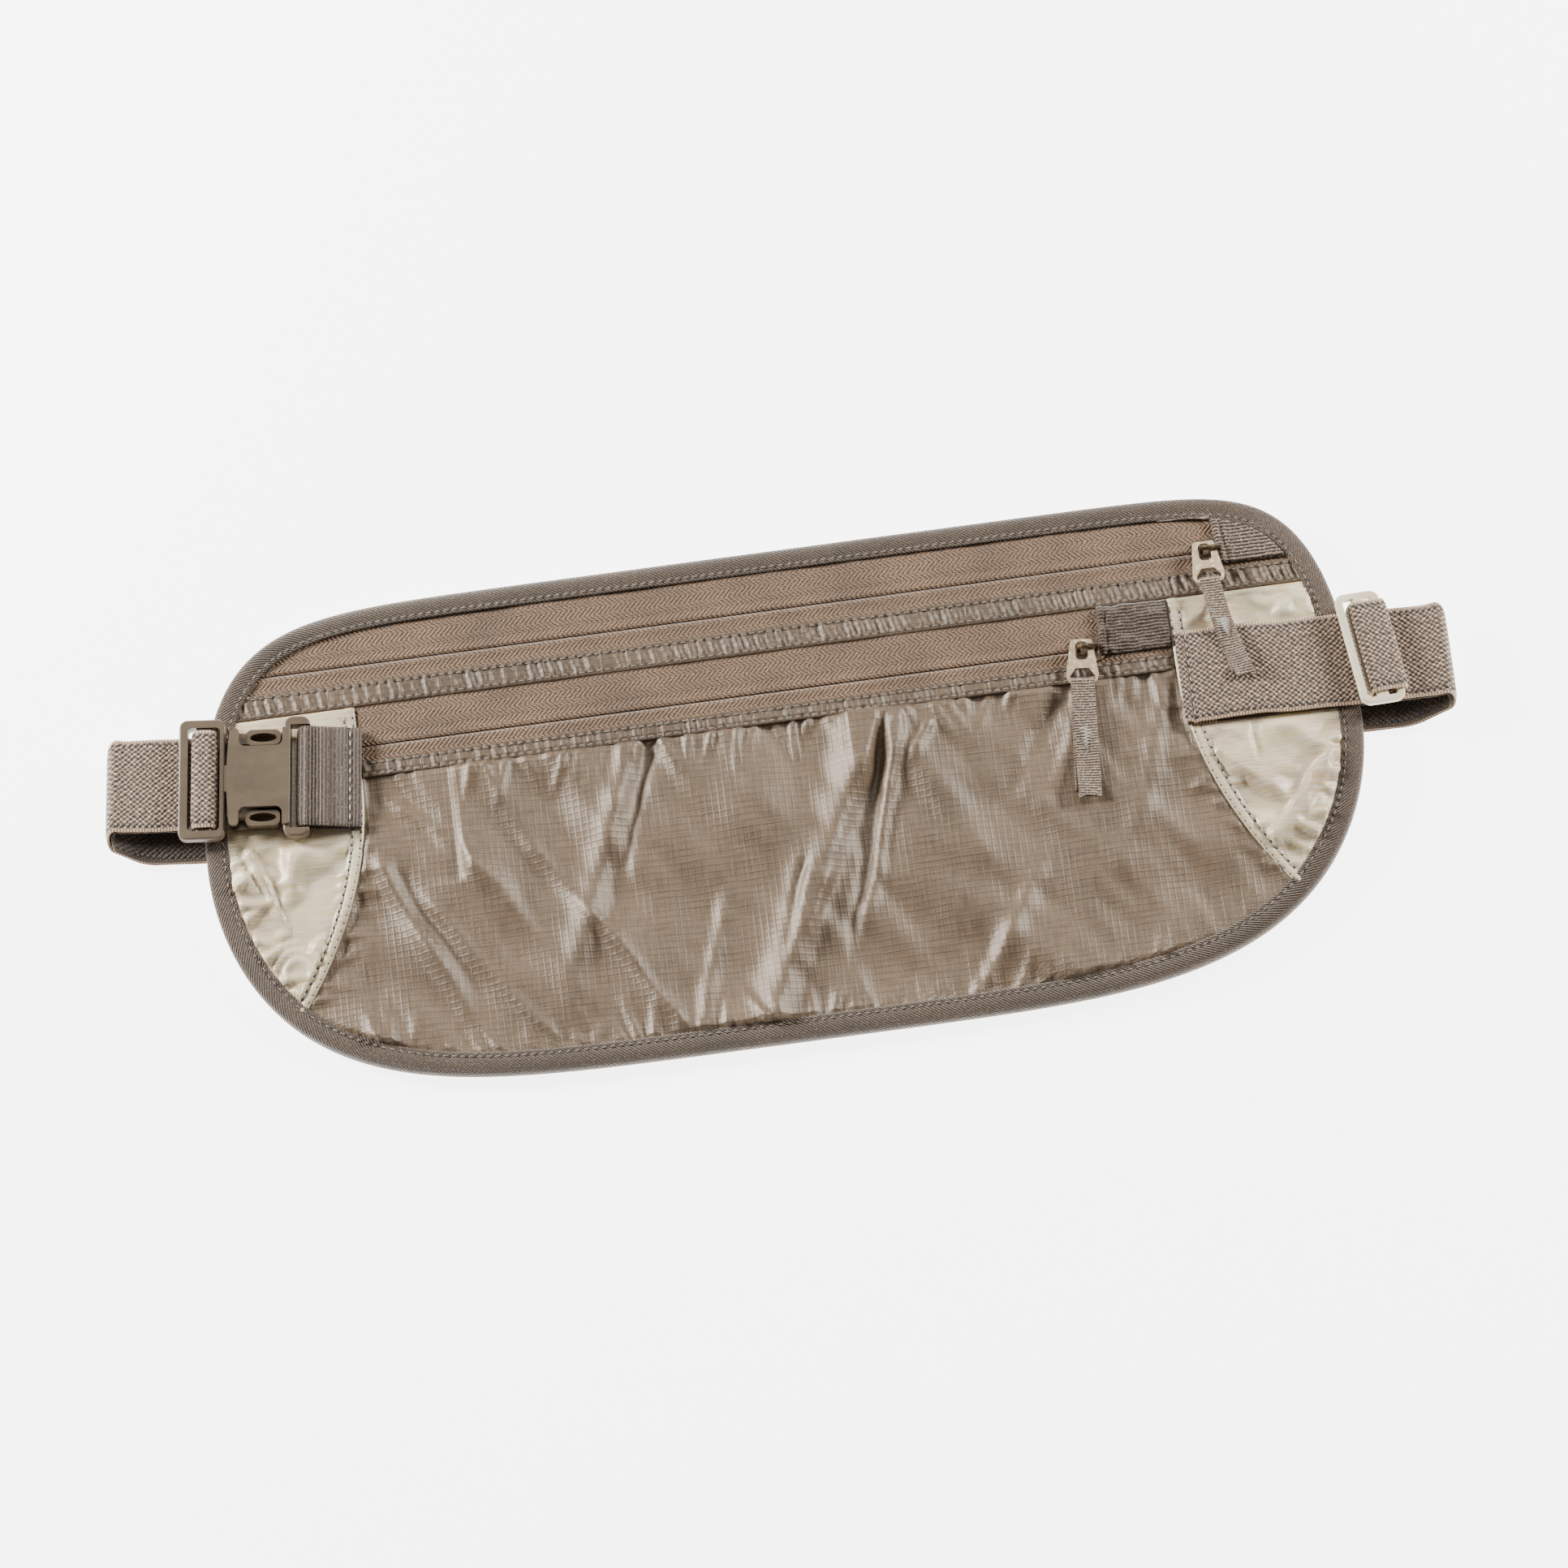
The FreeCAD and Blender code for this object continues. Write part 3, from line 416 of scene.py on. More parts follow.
def ripstop(name, base, shade, light, gloss, needle_rows=()):
    """Shiny ripstop nylon: a fine weave crossed by a grid of stouter threads."""
    look = Look(name, Roughness=gloss, Specular_IOR_Level=1.0, Specular_Tint=WARM_SHEEN)
    grid = look.maths("MAXIMUM", look.line(look.u, 1.7, 14), look.line(look.v, 1.7, 14))
    fine = look.times(look.ripple(look.u, 0.42), look.ripple(look.v, 0.42))
    slub_up = look.noise(1.3, 3.0, (2.6, 0.10, 1.0))
    slub_over = look.noise(1.3, 3.0, (0.10, 2.6, 1.0))
    cloud = look.noise(0.035, 3.0)
    colour = look.mix(look.between(cloud, 0.3, 0.7), base, shade)
    threads = look.plus(slub_up, slub_over)
    colour = look.mix(look.between(threads, 0.8, 1.3, 0.0, 0.45), colour, light)
    colour = look.mix(look.times(grid, 0.3), colour, shade)
    height = look.plus(look.times(grid, 0.7), look.times(fine, 0.25))
    height = look.plus(height, look.times(threads, 0.25))
    # Painted shade: the needle holes between the stitches of each row are darkened.
    for row in needle_rows:
        along = look.plus(look.u, (STITCH_LENGTH - STITCH_PITCH) / 2 + STITCH_PITCH / 4)
        gaps = look.between(look.ripple(along, STITCH_PITCH), 0.1, 0.5)
        colour = look.mix(look.times(look.holes(row, gaps), 0.9), colour, NEEDLE_HOLE_SHADE)
    return look.done(colour, height, 0.07)


def satin(name, base, shade, light, gloss):
    """Close, shiny satin weave with soft slubs."""
    look = Look(name, Roughness=gloss, Specular_IOR_Level=0.85, Specular_Tint=WARM_SHEEN)
    twill = look.ripple(look.plus(look.u, look.times(look.v, 0.5)), 0.5)
    slub = look.noise(1.2, 3.0, (0.12, 2.4, 1.0))
    cloud = look.noise(0.05, 3.0)
    colour = look.mix(look.between(cloud, 0.3, 0.7), base, shade)
    colour = look.mix(look.between(slub, 0.4, 0.7, 0.0, 0.6), colour, light)
    height = look.plus(look.times(twill, 0.3), slub)
    return look.done(colour, height, 0.05)


def herringbone(name, base, shade, light):
    """Woven zipper tape: slanted ribs that change side every few threads."""
    look = Look(name, Roughness=0.62, Sheen_Weight=0.3, Sheen_Roughness=0.4)
    side = look.maths("PINGPONG", look.v, 2.2)
    ribs = look.ripple(look.plus(look.u, side), 1.3)
    weft = look.ripple(look.v, 0.5)
    fleck = look.noise(2.2, 2.0)
    cloud = look.noise(0.06, 3.0)
    colour = look.mix(look.between(ribs, -1.0, 1.0), shade, base)
    colour = look.mix(look.between(fleck, 0.45, 0.75, 0.0, 0.55), colour, light)
    colour = look.mix(look.between(cloud, 0.35, 0.7, 0.0, 0.4), colour, shade)
    height = look.plus(ribs, look.times(weft, 0.4))
    height = look.plus(height, fleck)
    return look.done(colour, height, 0.12)


def twill(name, base, shade, light, needle_row, pitch):
    """Binding tape: fine diagonal ribs, worn lighter in places, with needle holes along a row darkened
    by painted shade.
    """
    look = Look(name, Roughness=0.7, Sheen_Weight=0.35, Sheen_Roughness=0.5)
    ribs = look.ripple(look.plus(look.u, look.times(look.v, 1.3)), 1.05)
    fleck = look.noise(2.0, 2.0)
    cloud = look.noise(0.08, 3.0, (0.4, 1.0, 1.0))
    colour = look.mix(look.between(ribs, -1.0, 1.0), shade, base)
    colour = look.mix(look.between(fleck, 0.5, 0.8, 0.0, 0.6), colour, light)
    colour = look.mix(look.between(cloud, 0.4, 0.7, 0.0, 0.35), colour, shade)
    gaps = look.between(look.ripple(look.u, pitch), 0.0, -0.5)
    holes = look.holes(needle_row, gaps)
    # Painted shade: the needle holes along the stitch row are darkened.
    colour = look.mix(look.times(holes, 0.85), colour, NEEDLE_HOLE_SHADE)
    height = look.minus(look.plus(ribs, fleck), look.times(holes, 2.0))
    return look.done(colour, height, 0.12)


def webbing_look(name, base, shade, light):
    """Elastic webbing: light beads, staggered dark gaps, and a plain selvedge with a row of dots.

    A dark line of painted shade marks the groove that the stitches draw in near the strap's sewn end.
    """
    look = Look(name, Roughness=0.72, Sheen_Weight=0.35, Sheen_Roughness=0.5)
    drift_u = look.times(look.noise(0.45, 2.0), 1.1)
    drift_v = look.times(look.noise(0.3, 2.0, (1.0, 1.0, 3.0)), 0.5)
    over = look.maths("COSINE", look.times(look.plus(look.u, drift_u), 3.9))
    up = look.maths("COSINE", look.times(look.plus(look.v, drift_v), 4.6))
    beads = look.times(over, up)
    fleck = look.noise(1.0, 3.0)
    uneven = look.times(look.minus(fleck, 0.5), 2.8)
    gaps = look.plus(beads, uneven)
    colour = look.mix(look.between(gaps, -0.75, -0.05), shade, base)
    colour = look.mix(look.between(gaps, 0.25, 0.95), colour, light)
    reach = look.maths("ABSOLUTE", look.v)
    dots_at, dots_pitch = 11.0, 1.5
    row = look.times(look.between(look.off(reach, dots_at), 0.5, 0.15),
                     look.between(look.ripple(look.u, dots_pitch), -0.1, 0.4))
    colour = look.mix(row, colour, shade)
    # Painted shade: the groove that the stitches draw in is darkened.
    groove = look.between(look.off(look.u, GROOVE_AT + 0.3), 0.6, 0.2)
    colour = look.mix(look.times(groove, 0.8), colour, shade)
    plain = look.between(reach, 11.6, 11.9)
    selvedge = look.mix(look.between(look.ripple(look.u, 0.8), -1.0, 1.0), base, light)
    colour = look.mix(plain, colour, selvedge)
    woven = look.times(look.plus(beads, uneven), look.minus(1.0, plain))
    height = look.minus(woven, look.times(row, 1.2))
    return look.done(colour, height, 0.16)


def ribbed(name, base, shade, light, pitch, along_u=True, depth=0.12):
    """Grosgrain: stout ribs with shaded valleys."""
    look = Look(name, Roughness=0.6, Sheen_Weight=0.3, Sheen_Roughness=0.4)
    across = look.u if along_u else look.v
    other = look.v if along_u else look.u
    bend = look.times(look.noise(0.25, 2.0), 0.35)
    ribs = look.ripple(look.plus(across, bend), pitch)
    threads = look.ripple(other, 0.45)
    fleck = look.noise(1.6, 2.0)
    colour = look.mix(look.between(ribs, -0.9, 0.5), shade, base)
    colour = look.mix(look.between(fleck, 0.5, 0.75, 0.0, 0.6), colour, light)
    height = look.plus(ribs, look.times(threads, 0.15))
    height = look.plus(height, look.times(fleck, 0.4))
    return look.done(colour, height, depth)


def thread(name, base, shade):
    """Twisted sewing thread."""
    look = Look(name, Roughness=0.5, Sheen_Weight=0.3, Sheen_Roughness=0.4)
    strands = look.ripple(look.plus(look.u, look.times(look.v, 0.6)), 0.34)
    colour = look.mix(look.between(strands, -1.0, 1.0), shade, base)
    return look.done(colour, strands, 0.05)


def moulded(name, base, shade, gloss):
    """Moulded plastic with a fine matte grain and faint flow marks."""
    look = Look(name, woven=False, Roughness=gloss)
    grain = look.noise(7.0, 2.0)
    flow = look.noise(0.18, 3.0, (0.5, 1.0, 1.0))
    colour = look.mix(look.between(flow, 0.3, 0.7), base, shade)
    roughness = look.between(look.noise(0.7, 3.0), 0.3, 0.7, gloss - 0.06, gloss + 0.08)
    return look.done(colour, look.plus(grain, flow), 0.025, roughness)


def painted_metal(name, base, worn, gloss):
    """Painted zinc: smooth, with paint worn thin in spots."""
    look = Look(name, woven=False, Metallic=0.55)
    spots = look.noise(0.9, 4.0)
    colour = look.mix(look.between(spots, 0.5, 0.72), base, worn)
    roughness = look.between(look.noise(1.6, 3.0), 0.3, 0.7, gloss - 0.07, gloss + 0.1)
    return look.done(colour, look.noise(4.0, 2.0), 0.02, roughness)


def floor_look():
    """Pale seamless paper."""
    look = Look("pale_floor", woven=False, Roughness=0.9, Emission_Color=(1, 1, 1, 1),
                Emission_Strength=FLOOR_GLOW)
    fibre = look.noise(0.5, 3.0)
    colour = look.mix(fibre, (0.9, 0.9, 0.89, 1), (0.94, 0.94, 0.93, 1))
    return look.done(colour, fibre, 0.02)


# Painted shade: the dark colour given to needle holes between stitches.
NEEDLE_HOLE_SHADE = tone(44, 31, 16)
RIPSTOP = ripstop("ripstop", tone(134, 118, 100), tone(109, 94, 77), tone(172, 158, 139), 0.37)
TRIM = ripstop("ripstop", tone(119, 101, 82), tone(88, 72, 54), tone(150, 133, 112), 0.44, NEEDLE_ROWS)
SATIN = satin("wing_satin", tone(213, 197, 172), tone(181, 163, 139), tone(236, 223, 201), 0.25)
TAPE = herringbone("zipper_tape", tone(156, 134, 110), tone(86, 69, 50), tone(196, 174, 147))
BINDING = twill("binding_tape", tone(128, 109, 86), tone(66, 52, 34), tone(178, 160, 136),
                FRONT_ROW, BINDING_PITCH)
LINING = satin("lining", tone(170, 157, 143), tone(154, 140, 126), tone(186, 174, 160), 0.7)
WEBBING = webbing_look("elastic_webbing", tone(144, 127, 109), tone(62, 47, 30), tone(198, 184, 167))
# Painted shade: a darker copy of the webbing for the strap's inner layer, standing for the shade inside
# its loops.
SHADED_WEBBING = webbing_look("elastic_webbing", tone(84, 66, 40), tone(34, 23, 8), tone(122, 104, 76))
GROSGRAIN = ribbed("grosgrain", tone(138, 123, 108), tone(52, 39, 26), tone(166, 152, 137), 0.95)
RIBBON = ribbed("ribbon", tone(168, 152, 137), tone(100, 85, 70), tone(222, 209, 195),
                0.7, along_u=False, depth=0.1)
FOLDED_TAPE = ribbed("ribbon", tone(150, 134, 120), tone(74, 61, 47), tone(206, 194, 180),
                     0.95, along_u=False, depth=0.18)
CREASED_TAPE = ribbed("ribbon", tone(124, 107, 90), tone(66, 52, 38), tone(170, 154, 138),
                      0.9, along_u=False, depth=0.14)
COIL = ribbed("coil_nylon", tone(150, 127, 108), tone(118, 97, 80), tone(178, 156, 136), 0.9)
THREAD = thread("stitch_thread", tone(222, 212, 198), tone(166, 151, 134))
# Painted shade: a dark thread look for the bars that stand for shade in needle holes.
NEEDLE_GAP_SHADE = thread("painted_needle_shade", tone(84, 68, 50), tone(44, 31, 16))
DARK_THREAD = thread("dark_thread", tone(188, 175, 160), tone(126, 111, 96))
BUCKLE = moulded("buckle_plastic", tone(130, 117, 99), tone(119, 106, 88), 0.34)
LIGHT_PLASTIC = moulded("adjuster_plastic", tone(212, 203, 190), tone(198, 188, 174), 0.36)
SLIDER_METAL = painted_metal("slider_metal", tone(112, 98, 78), tone(170, 152, 124), 0.32)
PULL_METAL = painted_metal("pull_metal", tone(182, 170, 152), tone(210, 200, 184), 0.34)


# ---------------------------------------------------------------- folds in the cloth
def ridges(x, y, folds):
    """Heights of a list of folds.

    A fold is (x0, y0, height0, x1, y1, height1, left width, right width); it fades beyond its ends.
    """
    total = np.zeros_like(x)
    for x0, y0, h0, x1, y1, h1, left, right in folds:
        run_x, run_y = x1 - x0, y1 - y0
        length = math.hypot(run_x, run_y)
        along = ((x - x0) * run_x + (y - y0) * run_y) / length
        side = ((y - y0) * run_x - (x - x0) * run_y) / length
        share = np.clip(along / length, 0, 1)
        beyond = along - share * length
        width = np.where(side > 0, left, right)
        fade = np.exp(-(side / width) ** 2 - (beyond / (0.12 * length + 1)) ** 2)
        total += (h0 + (h1 - h0) * share) * fade
    return total


def puckers(points, inward, spacing, reach, height, seed):
    """Short folds that start at a seam and run inward from it, at uneven distances."""
    rng = random.Random(seed)
    folds, along = [], rng.uniform(*spacing)
    places = lengths_along(points)
    while along < places[-1]:
        x, y = (np.interp(along, places, points[:, axis]) for axis in (0, 1))
        turn = math.atan2(inward[1], inward[0]) + rng.uniform(-0.5, 0.5)
        length, tall = rng.uniform(*reach), rng.uniform(*height)
        folds.append((x, y, tall, x + length * math.cos(turn), y + length * math.sin(turn), 0.0,
                      rng.uniform(0.8, 1.7), rng.uniform(0.6, 1.3)))
        along += rng.uniform(*spacing)
    return folds


def line_of(x0, y0, x1, y1, count=40):
    return np.linspace((x0, y0), (x1, y1), count)


def seam_line(side, low, high):
    heights = np.linspace(high, low, 60)
    return np.stack([side * seam_at(side, heights), heights], axis=-1)


def lower_edge(low_x, high_x):
    """The lower edge of the open cloth between two places along the belt."""
    points = outline(BINDING_WIDTH)
    return points[(points[:, 1] < -20) & (points[:, 0] > low_x) & (points[:, 0] < high_x)]


# The folds that cross the front panel: two long ones in the middle, and lesser ones to each side.
PANEL_FOLDS = [
    (24.0, 13.5, 2.0, -8.0, -54.0, 1.5, 3.4, 5.6),
    (26.3, 13.0, -1.5, 14.0, -38.0, -0.6, 1.4, 1.6),
    (30.5, 13.0, 1.5, 18.5, -32.0, 0.5, 1.6, 2.0),
    (38.5, 12.5, 1.0, 33.0, 4.0, 0.2, 1.3, 1.3),
    (2.0, -22.0, -0.8, -4.0, -40.0, -0.3, 1.4, 1.2),
    (8.0, -26.0, 0.8, 0.0, -44.0, 0.2, 1.6, 1.4),
    (-38.5, 16.5, 1.2, -57.0, -35.0, 0.7, 2.4, 4.0),
    (-33.5, 15.0, -0.8, -47.0, -24.0, -0.3, 1.6, 2.0),
    (-86.0, -3.0, 0.9, -61.0, -46.0, 0.7, 3.5, 2.5),
    (-104.0, -8.0, 1.0, -88.0, -46.0, 0.6, 2.5, 2.0),
    (-99.0, -12.0, -0.6, -84.0, -40.0, -0.3, 2.0, 2.0),
    (76.0, 17.0, -1.0, 58.0, -6.0, -0.3, 2.2, 2.2),
    (80.0, 12.0, 0.9, 66.0, -10.0, 0.2, 2.5, 2.0),
    (100.0, 14.0, 0.8, 84.0, -30.0, 0.3, 3.0, 3.0),
    (62.0, -30.0, 0.5, 44.0, -58.0, 0.9, 3.0, 2.2),
    (-20.0, -30.0, 0.4, -28.0, -58.0, 0.8, 2.4, 2.0),
    (-92.0, -20.0, 0.7, -70.0, -52.0, 0.5, 1.6, 1.4),
    (-78.0, -18.0, -0.6, -58.0, -50.0, -0.3, 1.8, 1.6),
    (-66.0, -8.0, 0.6, -44.0, -40.0, 0.3, 2.0, 1.4),
    (-52.0, -28.0, 0.6, -34.0, -56.0, 0.5, 1.5, 1.3),
    (-98.0, 8.0, 0.6, -76.0, -14.0, 0.3, 1.8, 1.5),
]
WING_FOLDS = {
    -1: [(-143.0, 8.0, -1.0, -136.0, -8.0, -0.7, 1.0, 1.2),
         (-138.5, 2.0, 1.1, -133.0, -14.0, 0.6, 1.4, 2.4),
         (-126.0, 2.0, 1.2, -131.0, -20.0, 0.6, 2.6, 3.0),
         (-114.0, -22.0, 0.9, -124.0, -38.0, 0.9, 2.4, 2.0),
         (-119.0, -8.0, -0.6, -126.0, -24.0, -0.5, 1.6, 1.8)],
    1: [(137.5, -12.9, 1.5, 124.3, -28.2, 1.2, 2.0, 1.6),
        (122.0, 3.0, -0.9, 122.0, -5.0, -0.6, 1.2, 1.2),
        (112.0, -6.0, 0.9, 128.0, -20.0, 0.6, 2.4, 2.0),
        (110.0, -24.0, 0.8, 121.0, -38.0, 0.7, 2.2, 1.8),
        (130.0, 0.0, 0.9, 139.0, -10.0, 0.5, 2.2, 2.0)],
}
# Rings of small creases round one place of the left wing: its centre, radii, and how tall they are.
SWIRL_CENTRE, SWIRL_RADII, SWIRL_HEIGHT = (-129.0, -31.5), (3.2, 6.0, 8.4), 0.5


def swirl(x, y):
    """Ring-shaped creases round one place, on the side towards the seam."""
    away = np.hypot(x - SWIRL_CENTRE[0], y - SWIRL_CENTRE[1])
    return sum(SWIRL_HEIGHT * np.exp(-((away - radius) / 0.75) ** 2) for radius in SWIRL_RADII)


# The cloth grows by a share of its size while it settles, and rises at most this far.
GROWTH, CLOTH_TOP, WING_TOP = 0.035, 3.8, 3.2
PANEL_STEP, WING_STEP = 0.95, 0.85
SIM_SCALE, SIM_FRAMES = 10.0, 26
CLOTH_SETTINGS = {
    "vertex_group_mass": "held", "quality": 5, "mass": 0.15, "air_damping": 3.0,
    "tension_stiffness": 20.0, "compression_stiffness": 20.0, "shear_stiffness": 10.0,
    "bending_stiffness": 0.25, "shrink_min": -GROWTH,
}


def buckle_cloth(sheets):
    """Lets each sheet buckle as cloth cut a little larger than the frame it is sewn into.

    A sheet is [x, y, height, free cells, lowest height, highest height].
    """
    scene = bpy.context.scene
    running = []
    for x, y, height, free, *_ in sheets:
        points = np.stack([x, y, height], axis=-1).reshape(-1, 3) * MM * SIM_SCALE
        mesh = bpy.data.meshes.new("buckling")
        mesh.from_pydata([tuple(point) for point in points], [], grid_faces(*x.shape))
        cloth_piece = bpy.data.objects.new("buckling", mesh)
        scene.collection.objects.link(cloth_piece)
        held = cloth_piece.vertex_groups.new(name="held")
        held.add(np.flatnonzero(~free).tolist(), 1.0, "REPLACE")
        cloth = cloth_piece.modifiers.new("Cloth", "CLOTH")
        for setting, value in CLOTH_SETTINGS.items():
            setattr(cloth.settings, setting, value)
        cloth.settings.effector_weights.gravity = 0.0
        cloth.collision_settings.use_collision = False
        cloth.point_cache.frame_start = 1
        cloth.point_cache.frame_end = SIM_FRAMES
        running.append(cloth_piece)
    for step in range(1, SIM_FRAMES + 1):
        scene.frame_set(step)
    graph = bpy.context.evaluated_depsgraph_get()
    for sheet, cloth_piece in zip(sheets, running):
        settled = np.zeros(len(cloth_piece.data.vertices) * 3)
        cloth_piece.evaluated_get(graph).data.vertices.foreach_get("co", settled)
        settled = settled.reshape(sheet[0].shape + (3,)) / (MM * SIM_SCALE)
        lowest, highest = sheet[4:]
        sheet[0], sheet[1] = settled[..., 0], settled[..., 1]
        sheet[2] = np.clip(settled[..., 2], lowest, highest)
    for cloth_piece in running:
        mesh = cloth_piece.data
        bpy.data.objects.remove(cloth_piece)
        bpy.data.meshes.remove(mesh)
    scene.frame_set(1)


def front_cloth():
    """The front panel and the two wings, buckled together."""
    x, y = cells(EDGE.low, PANEL_TOP, lambda h: np.maximum(EDGE.left(h), -seam_at(-1, h) - SEAM_LAP),
                 lambda h: np.minimum(EDGE.right(h), seam_at(1, h) + SEAM_LAP), PANEL_STEP)
    warp = waves(x, y, 34, 3.3)
    folds = PANEL_FOLDS + puckers(lower_edge(-118, 118), (0, 1), spacing=(3.5, 8.0),
                                  reach=(5, 15), height=(0.3, 0.9), seed=5)
    folds += puckers(line_of(-104, HEM[0], 104, HEM[0]), (0, -1), spacing=(3.0, 7.0),
                     reach=(5, 15), height=(0.3, 0.9), seed=6)
    for side in (-1, 1):
        line = seam_line(side, -50, 15)
        folds += puckers(line, (-side, 0), spacing=(4.0, 8.0), reach=(5, 13),
                         height=(0.3, 0.8), seed=8 + side)
    free = OPEN_CLOTH.holds(x, y) & (y < HEM[0] - 0.4) & (beyond_seam(x, y) < -0.6)
    height = 1.9 * ridges(x + 2.2 * warp, y, folds)
    height += 2.2 * waves(x + 0.45 * y, y * 0.6, 24, 9.1) + 0.9 * waves(x + 0.5 * y, y * 0.5, 11, 2.0)
    sheets = [[x, y, np.where(free, height, 0.0), free, -1.5, CLOTH_TOP]]
    for side in (-1, 1):
        def inner(h, side=side):
            return side * seam_at(side, h)

        def outer(h, side=side):
            edge = np.abs(EDGE.right(h) if side > 0 else EDGE.left(h))
            return side * np.maximum(edge, seam_at(side, h) + 0.01)

        ends = (inner, outer) if side > 0 else (outer, inner)
        x, y = cells(MEET[side], PLACKET[0] - 0.1, *ends, WING_STEP)
        folds = list(WING_FOLDS[side])
        folds += puckers(seam_line(side, -45, 20), (side, 0), spacing=(4.0, 8.0), reach=(4, 10),
                         height=(0.3, 0.7), seed=21)
        edge = outline(BINDING_WIDTH)
        near = edge[(edge[:, 0] * side > 112) & (edge[:, 1] < 36)]
        near = near[np.argsort(near[:, 1])]
        folds += puckers(near, (-side, 0.3), spacing=(3.5, 7.0), reach=(4, 11),
                         height=(0.4, 1.0), seed=31)
        free = OPEN_CLOTH.holds(x, y) & (y < PLACKET[0] - 1.2) & (beyond_seam(x, y) > 3.4)
        height = 2.1 * ridges(x, y, folds) + 2.0 * waves(x, y, 15, 4.4 + side)
        height += swirl(x, y) if side < 0 else 0.0
        sheets.append([x, y, np.where(free, height, 0.0), free, -0.5, WING_TOP])
    buckle_cloth(sheets)
    x, y, height = sheets[0][:3]
    pressed = under_ribbon(x, y)
    height = np.minimum(height, CLOTH_TOP * (1 - pressed) + RIBBON_ROOM * pressed)
    front = field("front_panel_cloth", x, y, FRONT_Z + height + sink(y), RIPSTOP,
                  stands_for=["front_panel"])
    for side, name, sheet in ((-1, "left", sheets[1]), (1, "right", sheets[2])):
        x, y, height = sheet[:3]
        lap = beyond_seam(x, y)
        roll = 0.45 * np.sin(np.clip(lap / 2.9, 0, 1) * math.pi) - 0.1 * np.exp(-(lap - 3.0) ** 2 / 0.2)
        pressed = under_strap(x, y)
        height = np.minimum(height, 2.6 * (1 - pressed)) * (1 - 0.7 * pressed)
        roll *= 1 - 0.8 * pressed
        wing = field(f"wing_{name}_cloth", x, y, TRIM_Z + height + roll + sink(y), SATIN,
                     stands_for=[f"wing_{name}"])


def plain_sheets():
    """The back panel and the divider between the two pockets."""
    x, y = cells(EDGE.low, EDGE.high, EDGE.left, EDGE.right, 2.2)
    back = field("back_panel_cloth", x, y, BACK_Z + 0.12 * waves(x, y, 30, 7.7) + sink(y), LINING,
                 stands_for=["back_panel"])
    x, y = cells(EDGE.low, DIVIDER_TOP, EDGE.left, EDGE.right, 2.5)
    divider = field("pocket_divider_cloth", x, y, DIVIDER_Z + 0.15 + sink(y), LINING,
                    stands_for=["pocket_divider"])


# ---------------------------------------------------------------- stitching
def stitches(name, points, heights, look, length=1.5, gap=0.75, width=0.42, body="root", start=None):
    """A row of sewn stitches along a line of points: small rounded bars, each sunk at its ends."""
    places = lengths_along(points)
    knots, faces, weave = [], [], []
    ring, rounds = 6, (0.0, 0.16, 0.5, 0.84, 1.0)
    start = gap if start is None else start
    while start + length < places[-1]:
        ends = [np.array([np.interp(place, places, points[:, axis]) for axis in (0, 1)]
                         + [np.interp(place, places, heights)]) for place in (start, start + length)]
        along = (ends[1] - ends[0]) / np.linalg.norm(ends[1] - ends[0])
        side = np.array([-along[1], along[0], 0.0])
        side /= np.linalg.norm(side)
        up = np.cross(along, side)
        first = len(knots)
        for share in rounds:
            swell = math.sin(math.pi * (0.08 + 0.84 * share))
            middle = ends[0] + (ends[1] - ends[0]) * share + up * width * 0.42 * (swell - 0.45)
            for corner in range(ring):
                turn = FULL_TURN * corner / ring
                offset = side * math.cos(turn) * width * 0.5 + up * math.sin(turn) * width * 0.36
                knots.append(middle + offset * (0.35 + 0.65 * swell))
                weave.append((start + share * length, corner * 0.3))
        faces += tube_faces(len(rounds), ring, first)
        start += length + gap
    build(name, knots, faces, look, body=body, weave=weave)


def stitch_line(name, points, height, look, *options, **named):
    """Stitches along a line at one height above the sinking pouch."""
    points = np.asarray(points)
    stitches(name, points, height + sink(points[:, 1]), look, *options, **named)


# ---------------------------------------------------------------- bands and tapes
RIDGE_PITCH = 3.2


def sides(ends):
    """The left and right side of a strip: the pouch's edge, or two given ends."""
    if ends is None:
        return EDGE.left, EDGE.right
    return (lambda h: h * 0 + ends[0]), (lambda h: h * 0 + ends[1])


def gathered(x, y, low, high, seed, tall):
    """Close, uneven cross ridges of a band that two rows of stitches draw in."""
    share = np.clip((y - low) / (high - low), 0, 1)
    middle = np.sin(share * math.pi) ** 0.6
    drift = x + 0.3 * (y - low) + 3.0 * waves(x, y * 0.1, 16, seed, 1)
    ridge = 1 - 1.9 * np.abs(np.sin(drift * math.pi / RIDGE_PITCH))
    uneven = (0.75 + 0.9 * waves(x, y * 0.2, 5.0, seed + 5, 1)) * (1 + 0.5 * smooth((x - 60) / 60))
    return tall * middle * (ridge * uneven + 0.35 * waves(x, y * 0.6, 2.2, seed + 9, 1))


